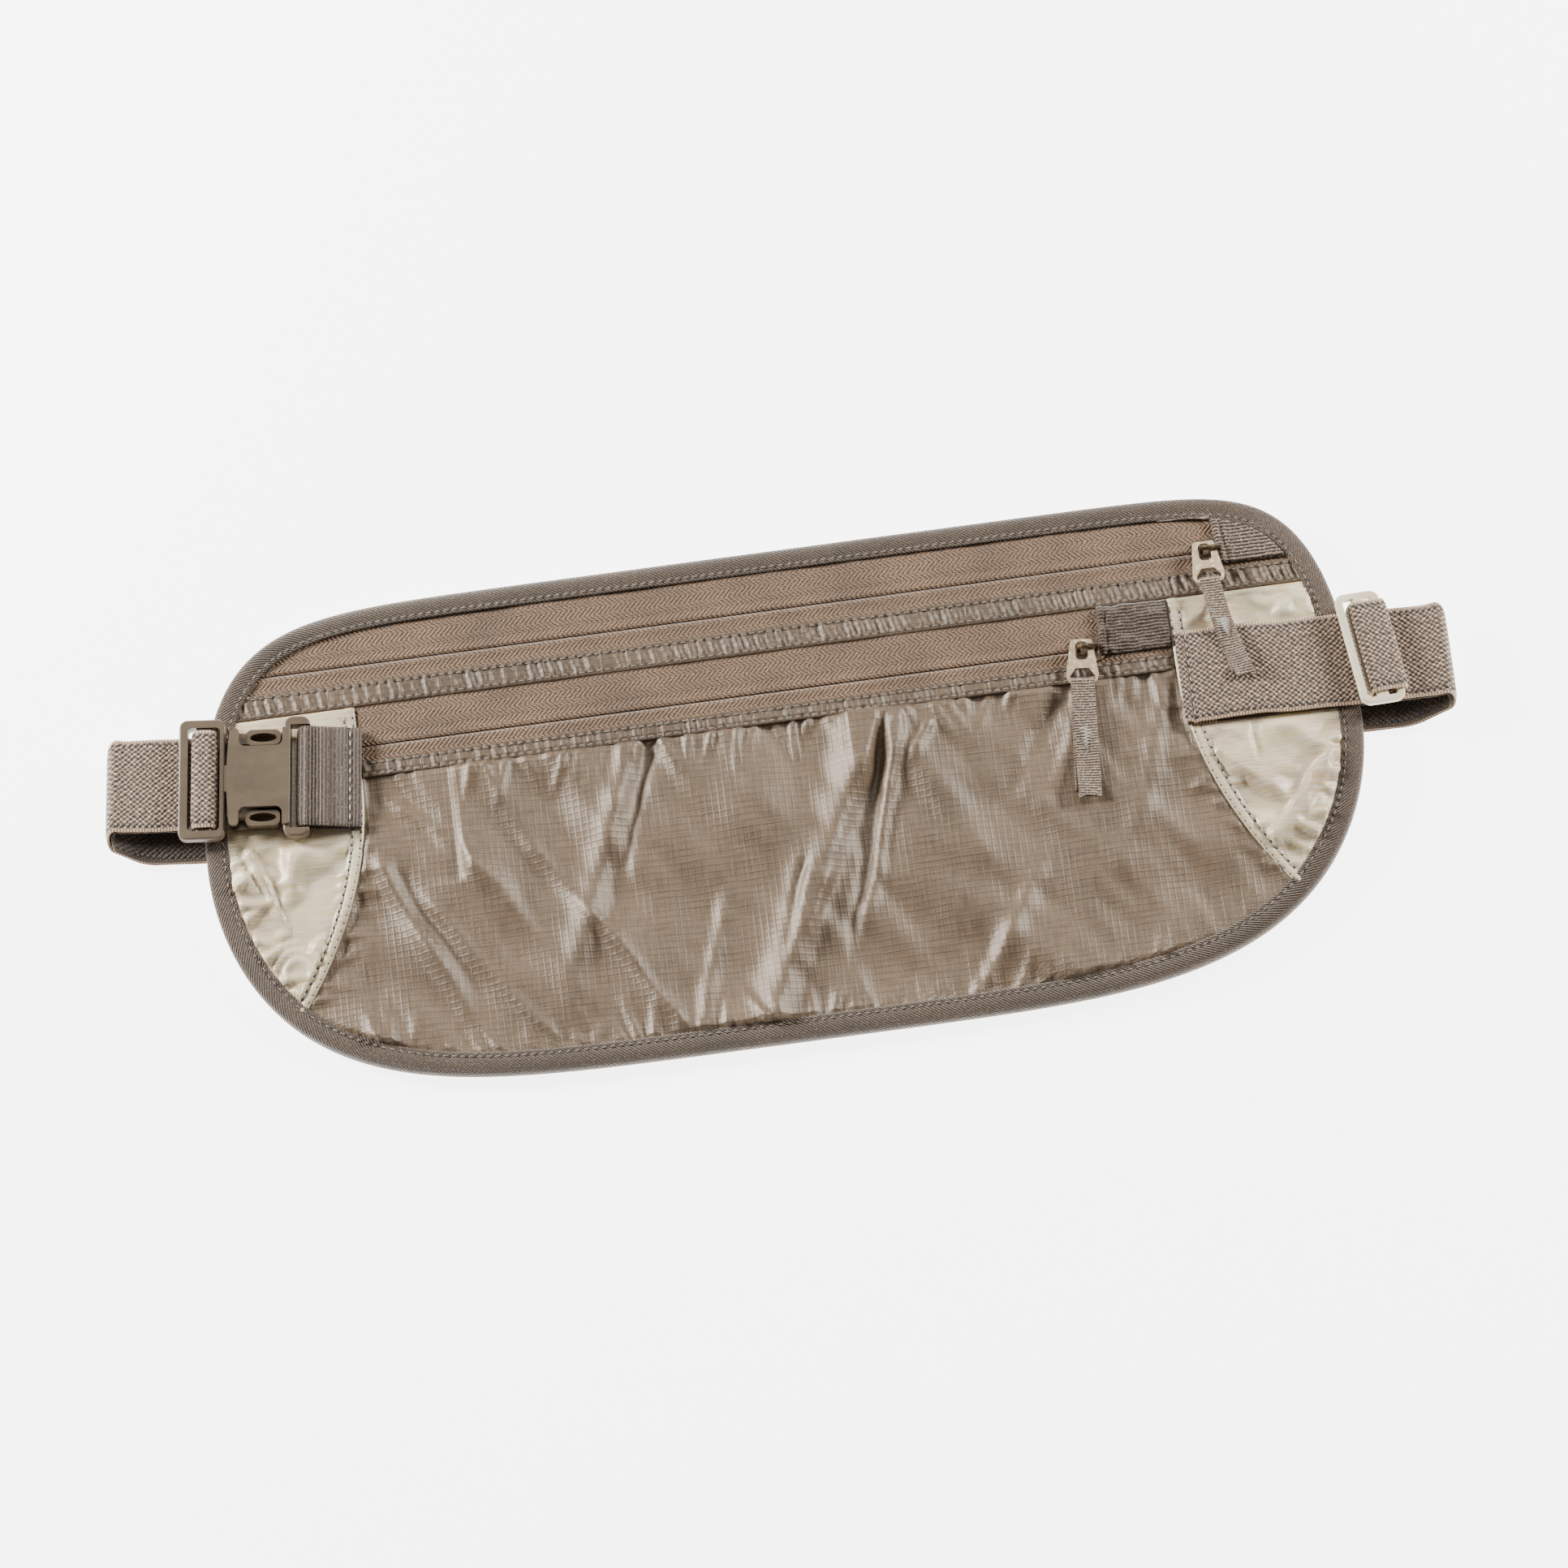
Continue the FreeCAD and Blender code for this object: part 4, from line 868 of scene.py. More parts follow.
def band(name, node, y_range, row_inset, seed, tall, ends=None):
    """A sewn band with a folded edge and a row of stitches along each side."""
    low, high = y_range
    x, y = cells(low, high, *sides(ends), 0.5)
    rows = (low + row_inset, high - row_inset)
    groove = sum(np.exp(-((y - row) / 0.35) ** 2) for row in rows)
    edge = np.minimum(y - low, high - y)
    lip = 0.25 * np.sin(np.clip(edge / row_inset, 0, 1) * math.pi)
    pull = 0.16 * np.cos((x + seed) * FULL_TURN / 2.3) * np.exp(-((edge - row_inset) / 0.8) ** 2)
    z = TRIM_Z + lip - 0.22 * groove + pull + gathered(x, y, rows[0], rows[1], seed, tall)
    z -= 0.5 * (1 - np.clip(edge / 0.3, 0, 1))
    field(name, x, y, z + sink(y), TRIM, stands_for=[node])
    for label, row in zip(("low", "high"), rows):
        start, end = ends or (EDGE.left(row) + ROW_END, EDGE.right(row) - ROW_END)
        first = math.ceil(start / STITCH_PITCH) * STITCH_PITCH
        stitch_line(f"{name}_stitches_{label}", line_of(first, row, end, row, 300), TRIM_Z + 0.05,
                    DARK_THREAD, STITCH_LENGTH, STITCH_PITCH - STITCH_LENGTH)


def tape(node, low, high, ridge_at, ends=None):
    """Half of a zipper: woven tape with a ridge over the coil beside the zipper's line."""
    x, y = cells(low, high, *sides(ends), 0.7)
    near = np.abs(y - ridge_at)
    ridge = 0.2 * np.exp(-((near - 0.75) / 0.7) ** 2) - 0.3 * np.exp(-(near / 0.18) ** 2)
    step = -0.14 * np.exp(-((near - 2.9) / 0.35) ** 2)
    soft = 0.16 * waves(x, y, 11, ridge_at) * np.clip((near - 2.5) / 3, 0, 1)
    z = FRONT_Z + ridge + step + soft + sink(y)
    field(f"{node}_cloth", x, y, z, TAPE, stands_for=[node])


def coil(name, line, side, ends, node):
    """One side of a zipper's coil: a nylon line wound in flat turns."""
    wire, ring, per_turn = 0.2, 5, 10
    count = int((ends[1] - ends[0]) / COIL_PITCH * per_turn)
    along = np.array([1.0, 0, 0])
    points, weave = [], []
    for index in range(count + 1):
        turn = FULL_TURN * index / per_turn
        x = ends[0] + COIL_PITCH * index / per_turn
        middle = np.array([x, line + side * COIL_OFFSET + COIL_WIDE * math.cos(turn),
                           COIL_Z + COIL_HIGH * math.sin(turn)])
        out = np.array([0.0, math.cos(turn), math.sin(turn)])
        for corner in range(ring):
            angle = FULL_TURN * corner / ring
            points.append(middle + wire * (math.cos(angle) * out + math.sin(angle) * along))
            weave.append((x, corner * 0.25))
    faces = grid_faces(count + 1, ring, around=True)
    build(name, points, faces, COIL, weave=weave, stands_for=[node])


def zipper_stops():
    """Small crimped blocks at the ends of the coils."""
    rows, ring, half = 9, 10, 2.4
    for name, line, ends in ZIPPERS:
        points, faces, weave = [], [], []
        for x in (ends[0] - 0.9, ends[1] + 0.9):
            faces += tube_faces(rows, ring, len(points))
            for share in np.linspace(-1, 1, rows):
                swell = 0.75 + 0.25 * math.cos(share * math.pi / 2)
                for corner in range(ring):
                    turn = FULL_TURN * corner / ring
                    points.append((x + 0.8 * swell * math.cos(turn), line + half * share,
                                   COIL_Z + 0.4 * swell * math.sin(turn)))
                    weave.append((share * half, corner * 0.3))
        build(f"zip_{name}_crimps", points, faces, COIL, weave=weave, stands_for=[f"zip_{name}_stops"])


def bands():
    """Placket, hem, zipper tapes and coils."""
    ends = (0.1 - SEAMS[-1][0], SEAMS[1][0] - 0.1)
    band("placket_band", "placket_middle", PLACKET, PLACKET_INSET, seed=3.0, tall=0.52)
    band("hem_band", "front_pocket_hem", HEM, HEM_INSET, seed=8.0, tall=0.4, ends=ends)
    slit = 0.08
    tape("zip_upper_tape_top", UPPER_LINE + slit, EDGE.high, UPPER_LINE)
    tape("zip_upper_tape_bottom", PLACKET[1] - 2.0, UPPER_LINE - slit, UPPER_LINE)
    tape("zip_lower_tape_top", LOWER_LINE + slit, PLACKET[0] + 2.0, LOWER_LINE, ends)
    tape("zip_lower_tape_bottom", HEM[1] - 1.4, LOWER_LINE - slit, LOWER_LINE, ends)
    for name, line, ends in ZIPPERS:
        coil(f"zip_{name}_turns_top", line, 1, ends, f"zip_{name}_coil_top")
        coil(f"zip_{name}_turns_bottom", line, -1, ends, f"zip_{name}_coil_bottom")
    zipper_stops()


# ---------------------------------------------------------------- binding
def binding():
    """The tape folded over the pouch's edge, drawn in by its stitches."""
    outer, inner = (outline(inset, 1400) for inset in (0.0, BINDING_WIDTH))
    wobble = np.array([noise.noise(Vector((a / 14, b / 14, 1.5))) for a, b in outer])
    fine = np.array([noise.noise(Vector((a / 3.2, b / 3.2, 6.5))) for a, b in outer])
    points, weave = [], []
    for index, place in enumerate(lengths_along(outer)):
        pull = math.cos(place * FULL_TURN / BINDING_PITCH)
        for step, (inset, z) in enumerate(BINDING_PROFILE):
            share = inset / BINDING_WIDTH
            x, y = outer[index] * (1 - share) + inner[index] * share
            near_row = math.exp(-((inset - BINDING_ROW) / 0.9) ** 2)
            lift = 0.09 * pull * near_row + (0.16 * fine[index] + 0.2 * wobble[index]) * share
            points.append((x, y, z + (lift if z > BINDING_FRONT else 0.0) + sink(y)))
            weave.append((place, ACROSS_BINDING[step]))
    faces = grid_faces(len(outer), len(BINDING_PROFILE), along=True)
    piece = build("edge_binding_tape", points, faces, BINDING, weave=weave, stands_for=["edge_binding"])
    share = BINDING_ROW / BINDING_WIDTH
    row = outer * (1 - share) + inner * share
    row = np.concatenate([row, row[:1]])
    length = 1.3
    stitch_line("binding_stitches_front", row, 6.52, DARK_THREAD, length, BINDING_PITCH - length, 0.45)


# ---------------------------------------------------------------- strap
def follow(start, heading, moves, step=0.9):
    """Places (x, z, heading) along straight runs (length,) and bends (radius, degrees).

    A left turn is positive.
    """
    x, z = start
    angle = math.radians(heading)
    places = [(x, z, angle)]
    for move in moves:
        if len(move) == 1:
            count = max(1, round(move[0] / step))
            for index in range(1, count + 1):
                share = move[0] * index / count
                places.append((x + share * math.cos(angle), z + share * math.sin(angle), angle))
            x, z = x + move[0] * math.cos(angle), z + move[0] * math.sin(angle)
            continue
        turn = math.radians(move[1])
        reach = math.copysign(move[0], turn)
        middle_x, middle_z = x - reach * math.sin(angle), z + reach * math.cos(angle)
        count = max(4, round(abs(turn) * move[0] / min(step, 0.35 * move[0])))
        for index in range(1, count + 1):
            now = angle + turn * index / count
            places.append((middle_x + reach * math.sin(now), middle_z - reach * math.cos(now), now))
        angle += turn
        x, z = middle_x + reach * math.sin(angle), middle_z - reach * math.cos(angle)
    return places


def end_loop(run, rise, drop, side, end_x):
    """The moves of a strap that runs on, turns back in an end loop and runs under itself to end_x."""
    radius, turn = rise
    tilt, slope = math.radians(turn), math.radians(LOOP_SLOPE)
    climb = radius * (1 - math.cos(tilt))
    curl_drop = LOOP_CURL_R * (math.cos(tilt) + math.cos(slope))
    bend_drop = LOOP_BEND_R * (1 - math.cos(slope))
    slope_run = (drop + climb - curl_drop - bend_drop) / math.sin(slope)
    reach = run + radius * math.sin(tilt) + LOOP_CURL_R * (math.sin(tilt) + math.sin(slope))
    flat_from = reach - slope_run * math.cos(slope) - LOOP_BEND_R * math.sin(slope)
    curl = (LOOP_CURL_R, -side * (180 + turn - LOOP_SLOPE))
    return [(run,), (radius, side * turn), curl, (slope_run,), (LOOP_BEND_R, -side * LOOP_SLOPE),
            (flat_from - end_x,)]


def turned(x, y, degrees):
    angle = math.radians(degrees)
    return x * math.cos(angle) - y * math.sin(angle), x * math.sin(angle) + y * math.cos(angle)


def stations(places, turn, origin, lean=0.0, level=0.0):
    """Places of a route put into the belt's frame, as (point, heading, turn about z)."""
    result = []
    for x, z, angle in places:
        side_x, side_y = turned(x, lean * (z - level), turn)
        result.append((np.array([side_x + origin[0], side_y + origin[1], z]), angle, turn))
    return result


def top_run_shape(x):
    """How far the strap's top run is off its straight line, at a distance along the belt."""
    rise_from, crest, fall_from, fall_to = HUMP
    hump = HUMP_HEIGHT * float(smooth((x - rise_from) / (crest - rise_from)))
    hump *= 1 - float(smooth((x - fall_from) / (fall_to - fall_from)))
    groove = GROOVE_DEPTH * math.exp(-((x - ANCHOR_X - GROOVE_AT) / 0.5) ** 2)
    lip = 0.25 * math.exp(-((x - ANCHOR_X - 1.1) / 0.8) ** 2)
    return hump + lip - groove


def strap_stations():
    """The strap's outer layer, from its sewn end round the right loop, and its part by the buckle."""
    drop = ANCHOR_Z - BACK_RUN_Z
    moves = end_loop(RIGHT_RUN_END - ANCHOR_X, RIGHT_RISE, drop, 1, BACK_RUN_END + BACK_JOIN - ANCHOR_X)
    right = follow((ANCHOR_X, ANCHOR_Z), 0, moves, 0.6)
    right = [(x, z + top_run_shape(x) if z > ANCHOR_Z - 0.01 and x < HUMP[-1] else z, angle)
             for x, z, angle in right]
    line = stations(right, BACK_RUN_TURN, (0, BACK_RUN_Y), RIGHT_SHIFT / drop, BACK_RUN_Z)
    drop = LEFT_TOP_Z - BACK_RUN_Z
    moves = end_loop(ROLL_START - LEFT_RUN_END, LEFT_RISE, drop, -1,
                     ROLL_START - LEFT_BACK_END + BACK_LAP)
    left = follow((ROLL_START, LEFT_TOP_Z), 180, moves)
    left = [(x, z, angle - math.pi) for x, z, angle in left][::-1]
    left_line = stations(left, BUCKLE_TURN, (BUCKLE_X, BUCKLE_Y), LEFT_SHIFT / drop, LEFT_TOP_Z)
    return line, left_line


def joined(line, left_line):
    """Bends the back run over its last stretch so that it meets the left part without a step."""
    slope = left_line[1][0] - left_line[0][0]
    result = []
    for point, angle, turn in line:
        on_back = abs(point[2] - BACK_RUN_Z) < 0.01
        share = float(smooth((BACK_BEND_FROM - point[0]) / BACK_BEND_LENGTH)) if on_back else 0.0
        level = left_line[0][0][1] + (point[0] - left_line[0][0][0]) * slope[1] / slope[0]
        bent = np.array([point[0], point[1] * (1 - share) + level * share, point[2]])
        result.append((bent, angle, turn * (1 - share) + BUCKLE_TURN * share))
    return result + left_line


SECTION = [-12.5, -12.42, -12.1, -11.5, -10.6, -8, -5, -2, 2, 5, 8, 10.6, 11.5, 12.1, 12.42, 12.5]


def sweep(name, line, layer, look, thickness, widths=STRAP_WIDTH, **options):
    """A flat strap along a line of stations, moved to one side of it by layer."""
    points, weave, place, last = [], [], 0.0, None
    half = thickness / 2
    loop = [(y, half * (1 - (abs(y) / 12.5) ** 14 * 0.75)) for y in SECTION]
    loop += [(y, -h) for y, h in reversed(loop)]
    for (point, angle, turn), width in zip(line, np.broadcast_to(widths, len(line))):
        out = np.array([*turned(-math.sin(angle), 0, turn), math.cos(angle)])
        across = np.array([*turned(0, 1, turn), 0.0])
        centre = point + out * layer
        if last is not None:
            place += float(np.linalg.norm(centre - last))
        last = centre
        for y, h in loop:
            edge = width / 25 * y * (1 + 0.004 * math.sin(place / 5.3) + 0.003 * math.sin(place / 2.1))
            points.append(centre + across * edge + out * h)
            weave.append((place, y))
    return build(name, points, tube_faces(len(line), len(loop)), look, weave=weave, **options)


def strap():
    """Both layers of the elastic strap."""
    line, left_line = strap_stations()
    whole = joined(line, left_line)
    wrap_r = ROLL_BAR[1] / 2 + 0.1 + STRAP_THICKNESS / 2
    flat = ROLL_BAR[0] - ROLL_BAR[1]
    riser_x, bend_r = ROLL_BAR_X - flat / 2 - wrap_r, 0.9
    moves = [(riser_x - bend_r - ROLL_START,), (bend_r, 90), (BUCKLE_MID_Z - LEFT_TOP_Z - bend_r,),
             (wrap_r, -90), (flat,), (wrap_r, -180), (flat + 0.5,)]
    roll = follow((ROLL_START, LEFT_TOP_Z), 0, moves, 0.4)[1:]
    roll = stations(roll, BUCKLE_TURN, (BUCKLE_X, BUCKLE_Y))
    widths = [STRAP_WIDTH] * len(whole) + list(np.linspace(STRAP_WIDTH, ROLL_WIDTH, 6))
    widths += [ROLL_WIDTH] * (len(whole) + len(roll) - len(widths))
    outer = sweep("elastic_strap_outer", whole + roll, 0.0, WEBBING, STRAP_THICKNESS, widths, body=None,
                  stands_for=["strap_outer", "strap_left_outer"])
    # The inner layer wears the darker webbing: painted shade inside the loops.
    inner_line = [stop for stop in whole
                  if not 0 < stop[0][0] < INNER_START or stop[0][2] < ANCHOR_Z - 0.3]
    inner = sweep("elastic_strap_inner", inner_line, -LAYER_STEP, SHADED_WEBBING, STRAP_THICKNESS,
                  body=None, stands_for=["strap_inner", "strap_left_inner"])
    for piece in (outer, inner):
        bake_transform(piece)
    anchor()


def row_across(x, y_ends, turn, origin):
    """A line across a strap at x in its own frame, put into the belt's frame."""
    ends = [turned(x, y, turn) for y in y_ends]
    return line_of(*(value + shift for end in ends for value, shift in zip(end, origin)))


def anchor():
    """The strap's sewn end: turned under, with a row of stitches in its groove."""
    row = row_across(ANCHOR_X + GROOVE_AT, (RIGHT_SHIFT - 11.6, RIGHT_SHIFT + 11.6), BACK_RUN_TURN,
                     (0, BACK_RUN_Y))
    top = ANCHOR_Z + STRAP_THICKNESS / 2 - GROOVE_DEPTH
    stitches("strap_end_stitches", row, np.full(len(row), top + 0.08), THREAD, 1.5, 0.8, 0.5)
    lean = RIGHT_SHIFT / (ANCHOR_Z - BACK_RUN_Z)
    moves = [(ANCHOR_HEM - 0.8,), (0.3, -180), (0.6,)]
    fold = follow((ANCHOR_X + ANCHOR_HEM, ANCHOR_Z - 0.9), 180, moves, 0.3)
    line = stations(fold, BACK_RUN_TURN, (0, BACK_RUN_Y), lean, BACK_RUN_Z)
    sweep("elastic_strap_hem", line, 0.0, WEBBING, 0.4, STRAP_WIDTH - 0.4)


# ---------------------------------------------------------------- buckle tab and adjuster roll
def buckle_tab():
    """The ribbed tab sewn into the wing's seam, turned round the buckle's outer bar."""
    bar_x, bar_r = OUTER_BAR
    wrap_r = bar_r + 0.1 + TAB_THICKNESS / 2
    end_x = (TAB_END_X - BUCKLE_X) / math.cos(math.radians(BUCKLE_TURN))
    reach = end_x - bar_x

    def lean(rise):
        distance = math.hypot(reach, rise)
        slope = math.asin(wrap_r / distance) + math.atan2(rise, reach)
        return math.degrees(slope), math.sqrt(distance**2 - wrap_r**2)

    top_slope, top_run = lean(BUCKLE_MID_Z - TAB_LAYERS[0])
    low_slope, low_run = lean(TAB_LAYERS[1] - BUCKLE_MID_Z)
    moves = [(top_run,), (wrap_r, 180 + top_slope + low_slope), (low_run,)]
    places = follow((end_x, TAB_LAYERS[0]), 180 - top_slope, moves, TAB_STEP)
    ribbed_places = []
    for index, (x, z, angle) in enumerate(places):
        strong = 0.3 + 0.7 * float(smooth((end_x - TAB_SMOOTH - x) / 3))
        rib = 0.13 * strong * math.cos(index * TAB_STEP * FULL_TURN / TAB_RIB)
        groove = 0.0
        if index * TAB_STEP < 8:
            groove = GROOVE_DEPTH * math.exp(-((end_x - x - TAB_ROW) / 0.5) ** 2)
        ribbed_places.append((x + rib * math.sin(angle), z - rib * math.cos(angle) - groove, angle))
    line = stations(ribbed_places, BUCKLE_TURN, (BUCKLE_X, BUCKLE_Y))
    sweep("buckle_tab_tape", line, 0.0, GROSGRAIN, TAB_THICKNESS, TAB_WIDTH, stands_for=["buckle_tab"])
    row = row_across(end_x - TAB_ROW, (-12.6, 12.6), BUCKLE_TURN, (BUCKLE_X, BUCKLE_Y))
    top = TAB_LAYERS[0] + TAB_THICKNESS / 2 + TAB_ROW * math.tan(math.radians(top_slope)) - GROOVE_DEPTH
    stitches("buckle_tab_stitches", row, np.full(len(row), top + 0.12), THREAD, 1.7, 0.8, 0.6)


def adjuster_roll():
    """The strap's run over the adjuster's centre and outer bars."""
    wrap_r = ADJUSTER_THICKNESS / 2 + 0.1 + STRAP_THICKNESS / 2
    near, far = (ADJUSTER_THICKNESS - CENTRE_BAR) / 2, (ADJUSTER_LENGTH - ADJUSTER_THICKNESS) / 2 + 0.1
    near_leg, far_leg = 2.8, 0.85
    moves = [(near_leg,), (wrap_r, -90), (far - near,), (wrap_r, -90), (far_leg,)]
    places = follow((near - wrap_r, -near_leg), 90, moves, 0.3)
    tilt = math.radians(ADJUSTER_TILT)
    across, up = math.cos(tilt), math.sin(tilt)
    tilted = [(x * across + z * up, ADJUSTER_Z - x * up + z * across, angle - tilt)
              for x, z, angle in places]
    strap_y = BACK_RUN_Y + ADJUSTER_X * math.tan(math.radians(BACK_RUN_TURN))
    strap_y += RIGHT_SHIFT + ADJUSTER_RISE_Y
    line = stations(tilted, ADJUSTER_LEAN, (ADJUSTER_X, strap_y))
    sweep("adjuster_roll", line, 0.0, WEBBING, STRAP_THICKNESS, body="adjuster",
          stands_for=["adjuster_strap_roll"])


# ---------------------------------------------------------------- zipper pulls
class Pull:
    """A doubled ribbon looped on a tab's lower bar, drooping to what it lies on."""

    def __init__(self, name, x, line, turn, lift, length, rest_z, sway):
        self.name, self.x, self.line, self.turn = name, x, line, turn
        self.length, self.rest_z, self.sway = length, rest_z, sway
        rise = math.radians(lift)
        self.bar_y = -TAB_BAR * math.cos(rise) - TAB_DROP * math.sin(rise)
        self.bar_z = BRIDGE_Z + TAB_BAR * math.sin(rise) - TAB_DROP * math.cos(rise)

    def drooped(self, run):
        """How far the ribbon has drooped at a place along it, from 0 to 1, and its height there."""
        fall = float(smooth(-run / (0.75 * self.length)))
        return fall, self.bar_z + (self.rest_z - self.bar_z) * fall

    def place(self, across, run):
        """A place on the ribbon, in the belt's frame."""
        x, y = turned(across, self.bar_y + run, self.turn)
        return x + self.x + TAB_SHIFT, y + self.line

    def ribbon(self, seed, twist, half):
        """The two layers of the ribbon, with frayed ends."""
        rng = random.Random(seed)
        points, faces, weave = [], [], []
        columns, rows, loop_r, loop_share, gap = 25, 70, 0.72, 0.06, 0.24
        for layer, (side, skew) in enumerate(((1, 0.0), (-1, 0.55))):
            first = len(points)
            for row in range(rows + 1):
                share = row / rows
                if share < loop_share:
                    angle = math.pi / 2 * (share / loop_share)
                    run = loop_r * math.cos(angle)
                    z = self.bar_z + side * loop_r * math.sin(angle)
                else:
                    run = -(share - loop_share) / (1 - loop_share) * (self.length - 1.2 * layer)
                    fall, z = self.drooped(run)
                    z += side * (gap + (loop_r - gap) * math.exp(run / 2.2))
                    z += 0.28 * math.sin(run / 4.3 + seed) * fall * (1 - 0.5 * share)
                shift = self.sway * share ** 1.5 - skew * share * 1.6
                roll = twist * math.sin(share * 7.5 + seed) * share
                for column in range(columns):
                    across = (column / (columns - 1) * 2 - 1) * half
                    end = 0.0
                    if row == rows:
                        aside = abs(across) / half
                        notch = 0.6 * aside if layer else 1.3 * (1 - aside)
                        end = notch + rng.uniform(-0.25, 0.25)
                    cup = 0.35 * (across / half) ** 2 * share + math.sin(roll) * across
                    points.append((*self.place(across * math.cos(roll) + shift, run + end), z + cup))
                    weave.append((across, run))
            faces += [tuple(first + index for index in face) for face in grid_faces(rows + 1, columns)]
        build(f"pull_{self.name}_ribbon_tape", points, faces, RIBBON, body=f"{self.name}_ribbon",
              weave=weave, stands_for=[f"pull_{self.name}_ribbon"], thick=0.34)

    def bartack(self, start, end):
        """Close zigzag stitches that hold the ribbon's two layers together."""
        points, heights = [], []
        for index in range(BARTACK_TURNS + 1):
            run = -(start + (end - start) * index / BARTACK_TURNS)
            shift = self.sway * (-run / self.length) ** 1.5
            points.append(self.place(shift + (-1.7 if index % 2 else 1.7), run))
            heights.append(self.drooped(run)[1] + 0.62)
        stitches(f"pull_{self.name}_ribbon_bartack", np.array(points), np.array(heights), THREAD,
                 3.0, 0.3, 0.45, body=f"{self.name}_ribbon")


def pulls():
    """Ribbons on both pulls, with their bar tacks."""
    upper = Pull("upper", UPPER_SLIDER_X, UPPER_LINE,
                 turn=1.0, lift=8.0, length=27.5, rest_z=9.4, sway=5.0)
    upper.ribbon(seed=2, twist=0.55, half=2.5)
    upper.bartack(11.0, 16.5)
    lower = Pull("lower", LOWER_SLIDER_X, LOWER_LINE,
                 turn=-5.7, lift=0.0, length=31.5, rest_z=7.1, sway=0.8)
    lower.ribbon(seed=4, twist=0.25, half=3.0)
    lower.bartack(12.5, 19.5)


# ---------------------------------------------------------------- garages
def garage(node, x_range, y_range, look, slant, crumple, seed):
    """A folded tape over the closed end of a zipper: a soft roll along its open side."""
    low, high = y_range
    x, y = cells(low, high, lambda h: x_range[0] + slant * (h - low) / (high - low),
                 lambda h: np.minimum(h * 0 + x_range[1], INNER_EDGE.right(h)), 0.4)
    start = x_range[0] + slant * (y - low) / (high - low)
    lap = x - start
    roll = 0.8 * np.sin(np.clip(lap / GARAGE_ROLL, 0, 1) * math.pi)
    roll += 0.4 * np.sin(np.clip(lap / GARAGE_ROLL - 1, 0, 1) * math.pi)
    edge = np.minimum(y - low, high - y)
    z = GARAGE_Z - 0.15 + roll + crumple * waves(x, y, 3.6, seed)
    z -= 0.45 * (1 - np.clip(edge / 0.5, 0, 1))
    field(f"{node}_tape", x, y, z, look, stands_for=[node], thick=0.35)


def garages():
    garage("garage_upper", (119.8, 137.0), (45.9, 60.0), FOLDED_TAPE,
           slant=-1.2, crumple=0.12, seed=3.3)
    garage("garage_lower", (85.4, 104.0), (25.2, 38.2), CREASED_TAPE,
           slant=0.6, crumple=0.75, seed=5.2)


# ---------------------------------------------------------------- hardware kept from the model
def hardware():
    """Better surfaces for the buckle, adjuster, sliders and tabs, and softer edges for the sliders and
    tabs.
    """
    looks = {
        "buckle_female": BUCKLE, "buckle_male": BUCKLE, "buckle_prong_upper": BUCKLE,
        "buckle_prong_lower": BUCKLE, "adjuster_frame": LIGHT_PLASTIC, "zip_upper_slider": SLIDER_METAL,
        "zip_lower_slider": SLIDER_METAL, "pull_upper_tab": PULL_METAL, "pull_lower_tab": PULL_METAL,
    }
    for name, look in looks.items():
        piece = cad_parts[name]
        for index in range(max(1, len(piece.material_slots))):
            if piece.material_slots:
                piece.material_slots[index].material = look
            else:
                piece.data.materials.append(look)
        if name in ("pull_upper_tab", "pull_lower_tab", "zip_upper_slider", "zip_lower_slider"):
            soft = piece.modifiers.new("Worn edges", "BEVEL")
            soft.width = 0.14 * MM
            soft.segments = 2
            soft.angle_limit = math.radians(35)


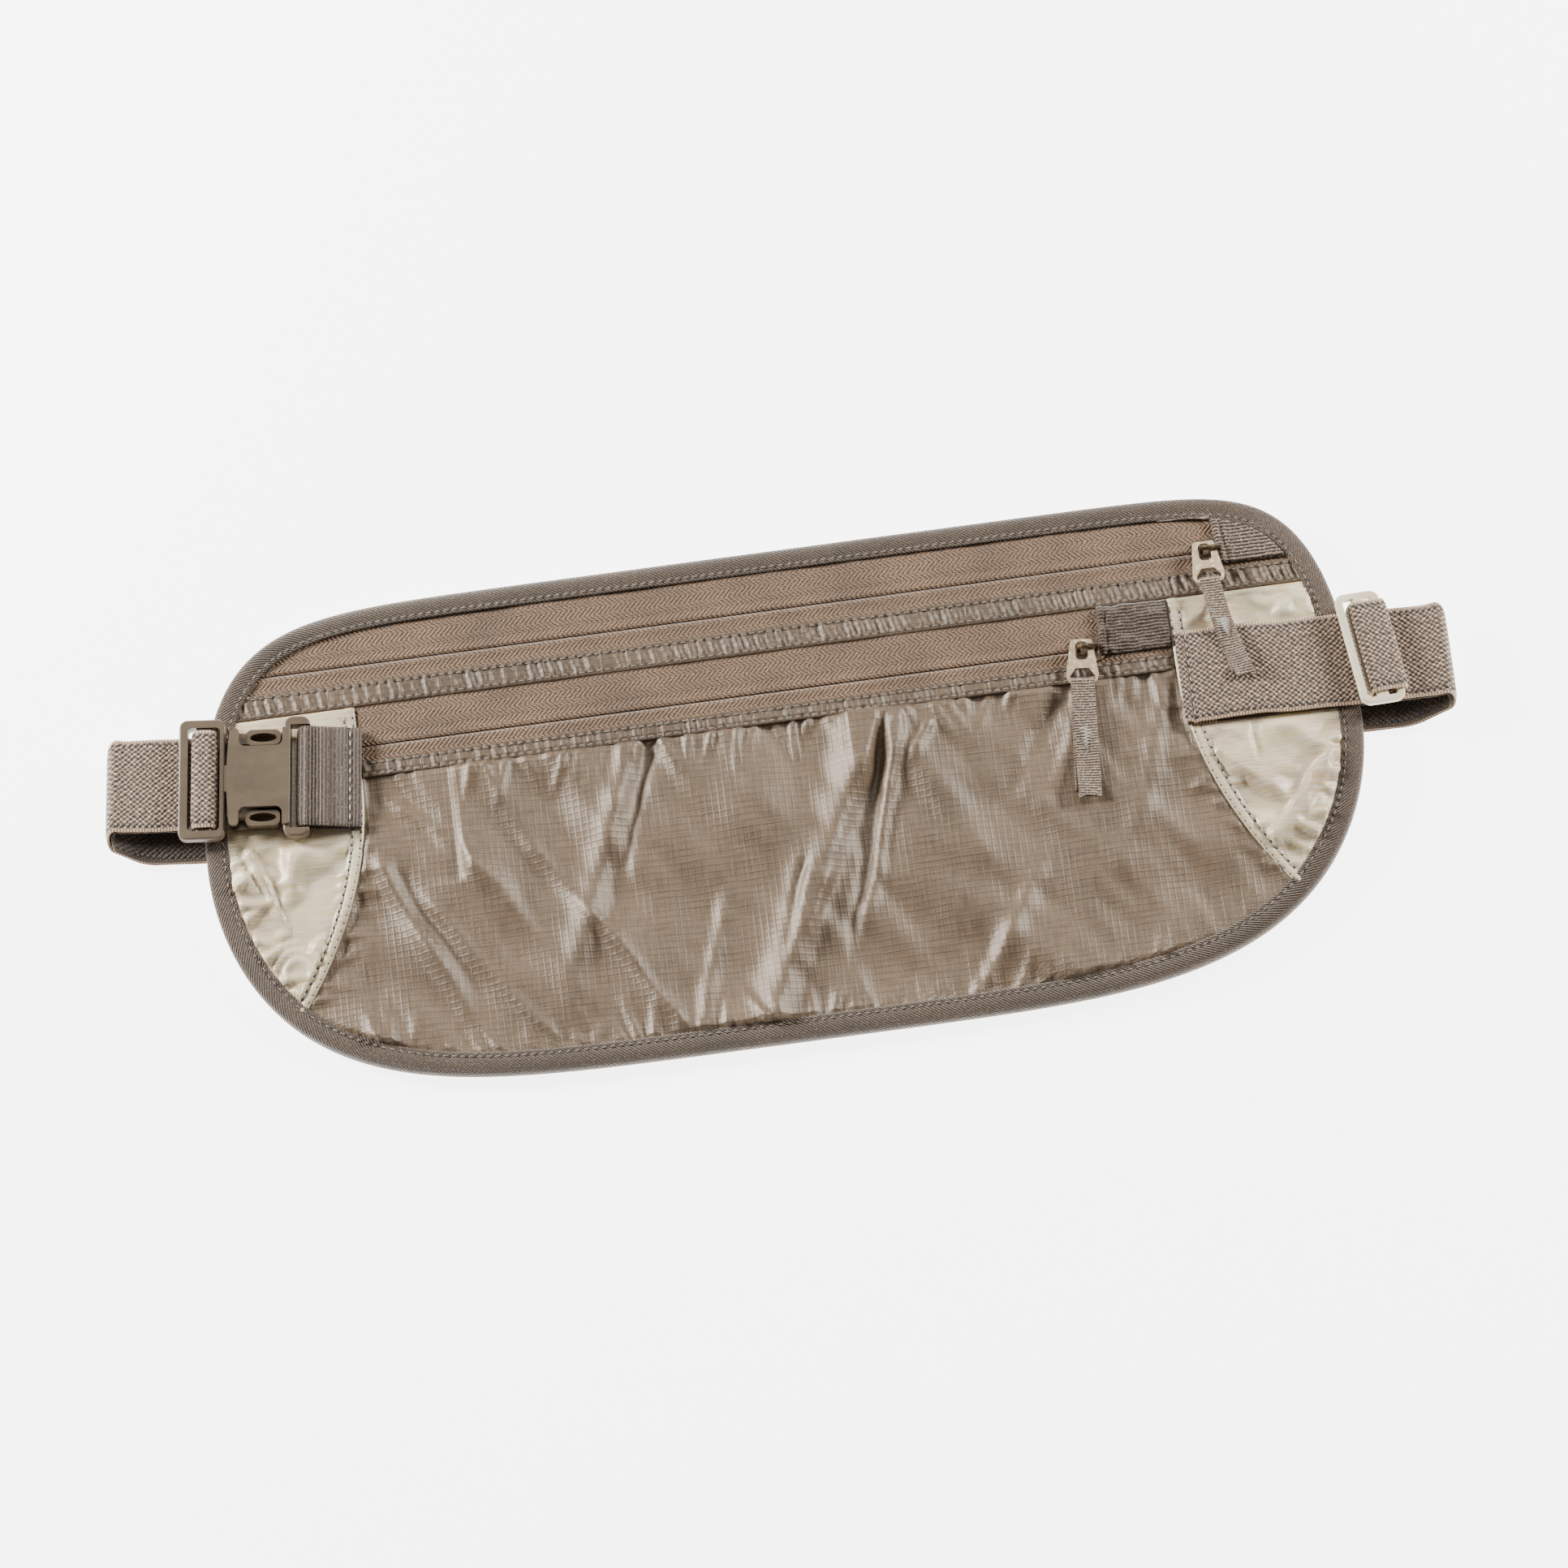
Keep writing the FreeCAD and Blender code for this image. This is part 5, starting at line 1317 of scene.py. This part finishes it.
def seams():
    """Stitch rows of the wings' seams, with dark bars of painted shade for the needle holes between
    their stitches.
    """
    for side, label in ((-1, "left"), (1, "right")):
        for offset, row in ((0.7, "inner"), (3.0, "outer")):
            heights = np.linspace(-47.0, 36.5, 160)
            points = np.stack([side * (seam_at(side, heights) + offset), heights], axis=-1)
            inside = OPEN_CLOTH.holds(points[:, 0], points[:, 1])
            line = points[inside]
            stitch_line(f"wing_{label}_stitches_{row}", line, TRIM_Z + 0.28, THREAD, width=0.6)
            # Painted shade: dark bars sunk between the stitches stand for the shade in the needle
            # holes.
            stitch_line(f"wing_{label}_gaps_{row}", line, TRIM_Z + 0.24, NEEDLE_GAP_SHADE,
                        length=0.75, gap=1.5, width=0.55, start=0.0)


# ---------------------------------------------------------------- table, light and camera
def studio():
    """A pale floor and soft lights from the left, the right and above."""
    size = 4000.0
    corners = [(-size, -size, 0), (size, -size, 0), (size, size, 0), (-size, size, 0)]
    mesh = bpy.data.meshes.new("studio_floor")
    mesh.from_pydata([tuple(c * MM for c in corner) for corner in corners], [], [(0, 1, 2, 3)])
    floor = bpy.data.objects.new("studio_floor", mesh)
    bpy.context.scene.collection.objects.link(floor)
    mesh.materials.append(floor_look())
    world = bpy.data.worlds.new("studio_light")
    bpy.context.scene.world = world
    world.use_nodes = True
    world.node_tree.nodes["Background"].inputs[0].default_value = (1, 1, 1, 1)
    world.node_tree.nodes["Background"].inputs[1].default_value = 0.12
    for name, (place, power, width) in LAMPS.items():
        light = bpy.data.lights.new(name, "AREA")
        light.energy = power
        light.size = width
        lamp = bpy.data.objects.new(name, light)
        lamp.location = place
        lamp.rotation_euler = (-lamp.location).to_track_quat("-Z", "Y").to_euler()
        bpy.context.scene.collection.objects.link(lamp)


def camera():
    """The camera: over the lower edge, 70 degrees up, rolled so that the belt rises to the right."""
    target, distance, elevation, roll, view_width = Vector((0.1, 1.8, 6.0)) * MM, 1.6, 70.0, 7.6, 0.4025
    lens = bpy.data.cameras.new("camera")
    lens.sensor_width = 36.0
    lens.lens = 36.0 * distance / view_width
    lens.clip_end = 20.0
    eye = bpy.data.objects.new("camera", lens)
    up = math.radians(elevation)
    eye.location = target + Vector((0, -math.cos(up), math.sin(up))) * distance
    look = (target - eye.location).to_track_quat("-Z", "Y").to_matrix()
    eye.rotation_euler = (look @ Matrix.Rotation(math.radians(-roll), 3, "Z")).to_euler()
    bpy.context.scene.collection.objects.link(eye)
    bpy.context.scene.camera = eye


camera()
strap()
plain_sheets()
front_cloth()
bands()
binding()
seams()
buckle_tab()
adjuster_roll()
pulls()
garages()
hardware()
studio()
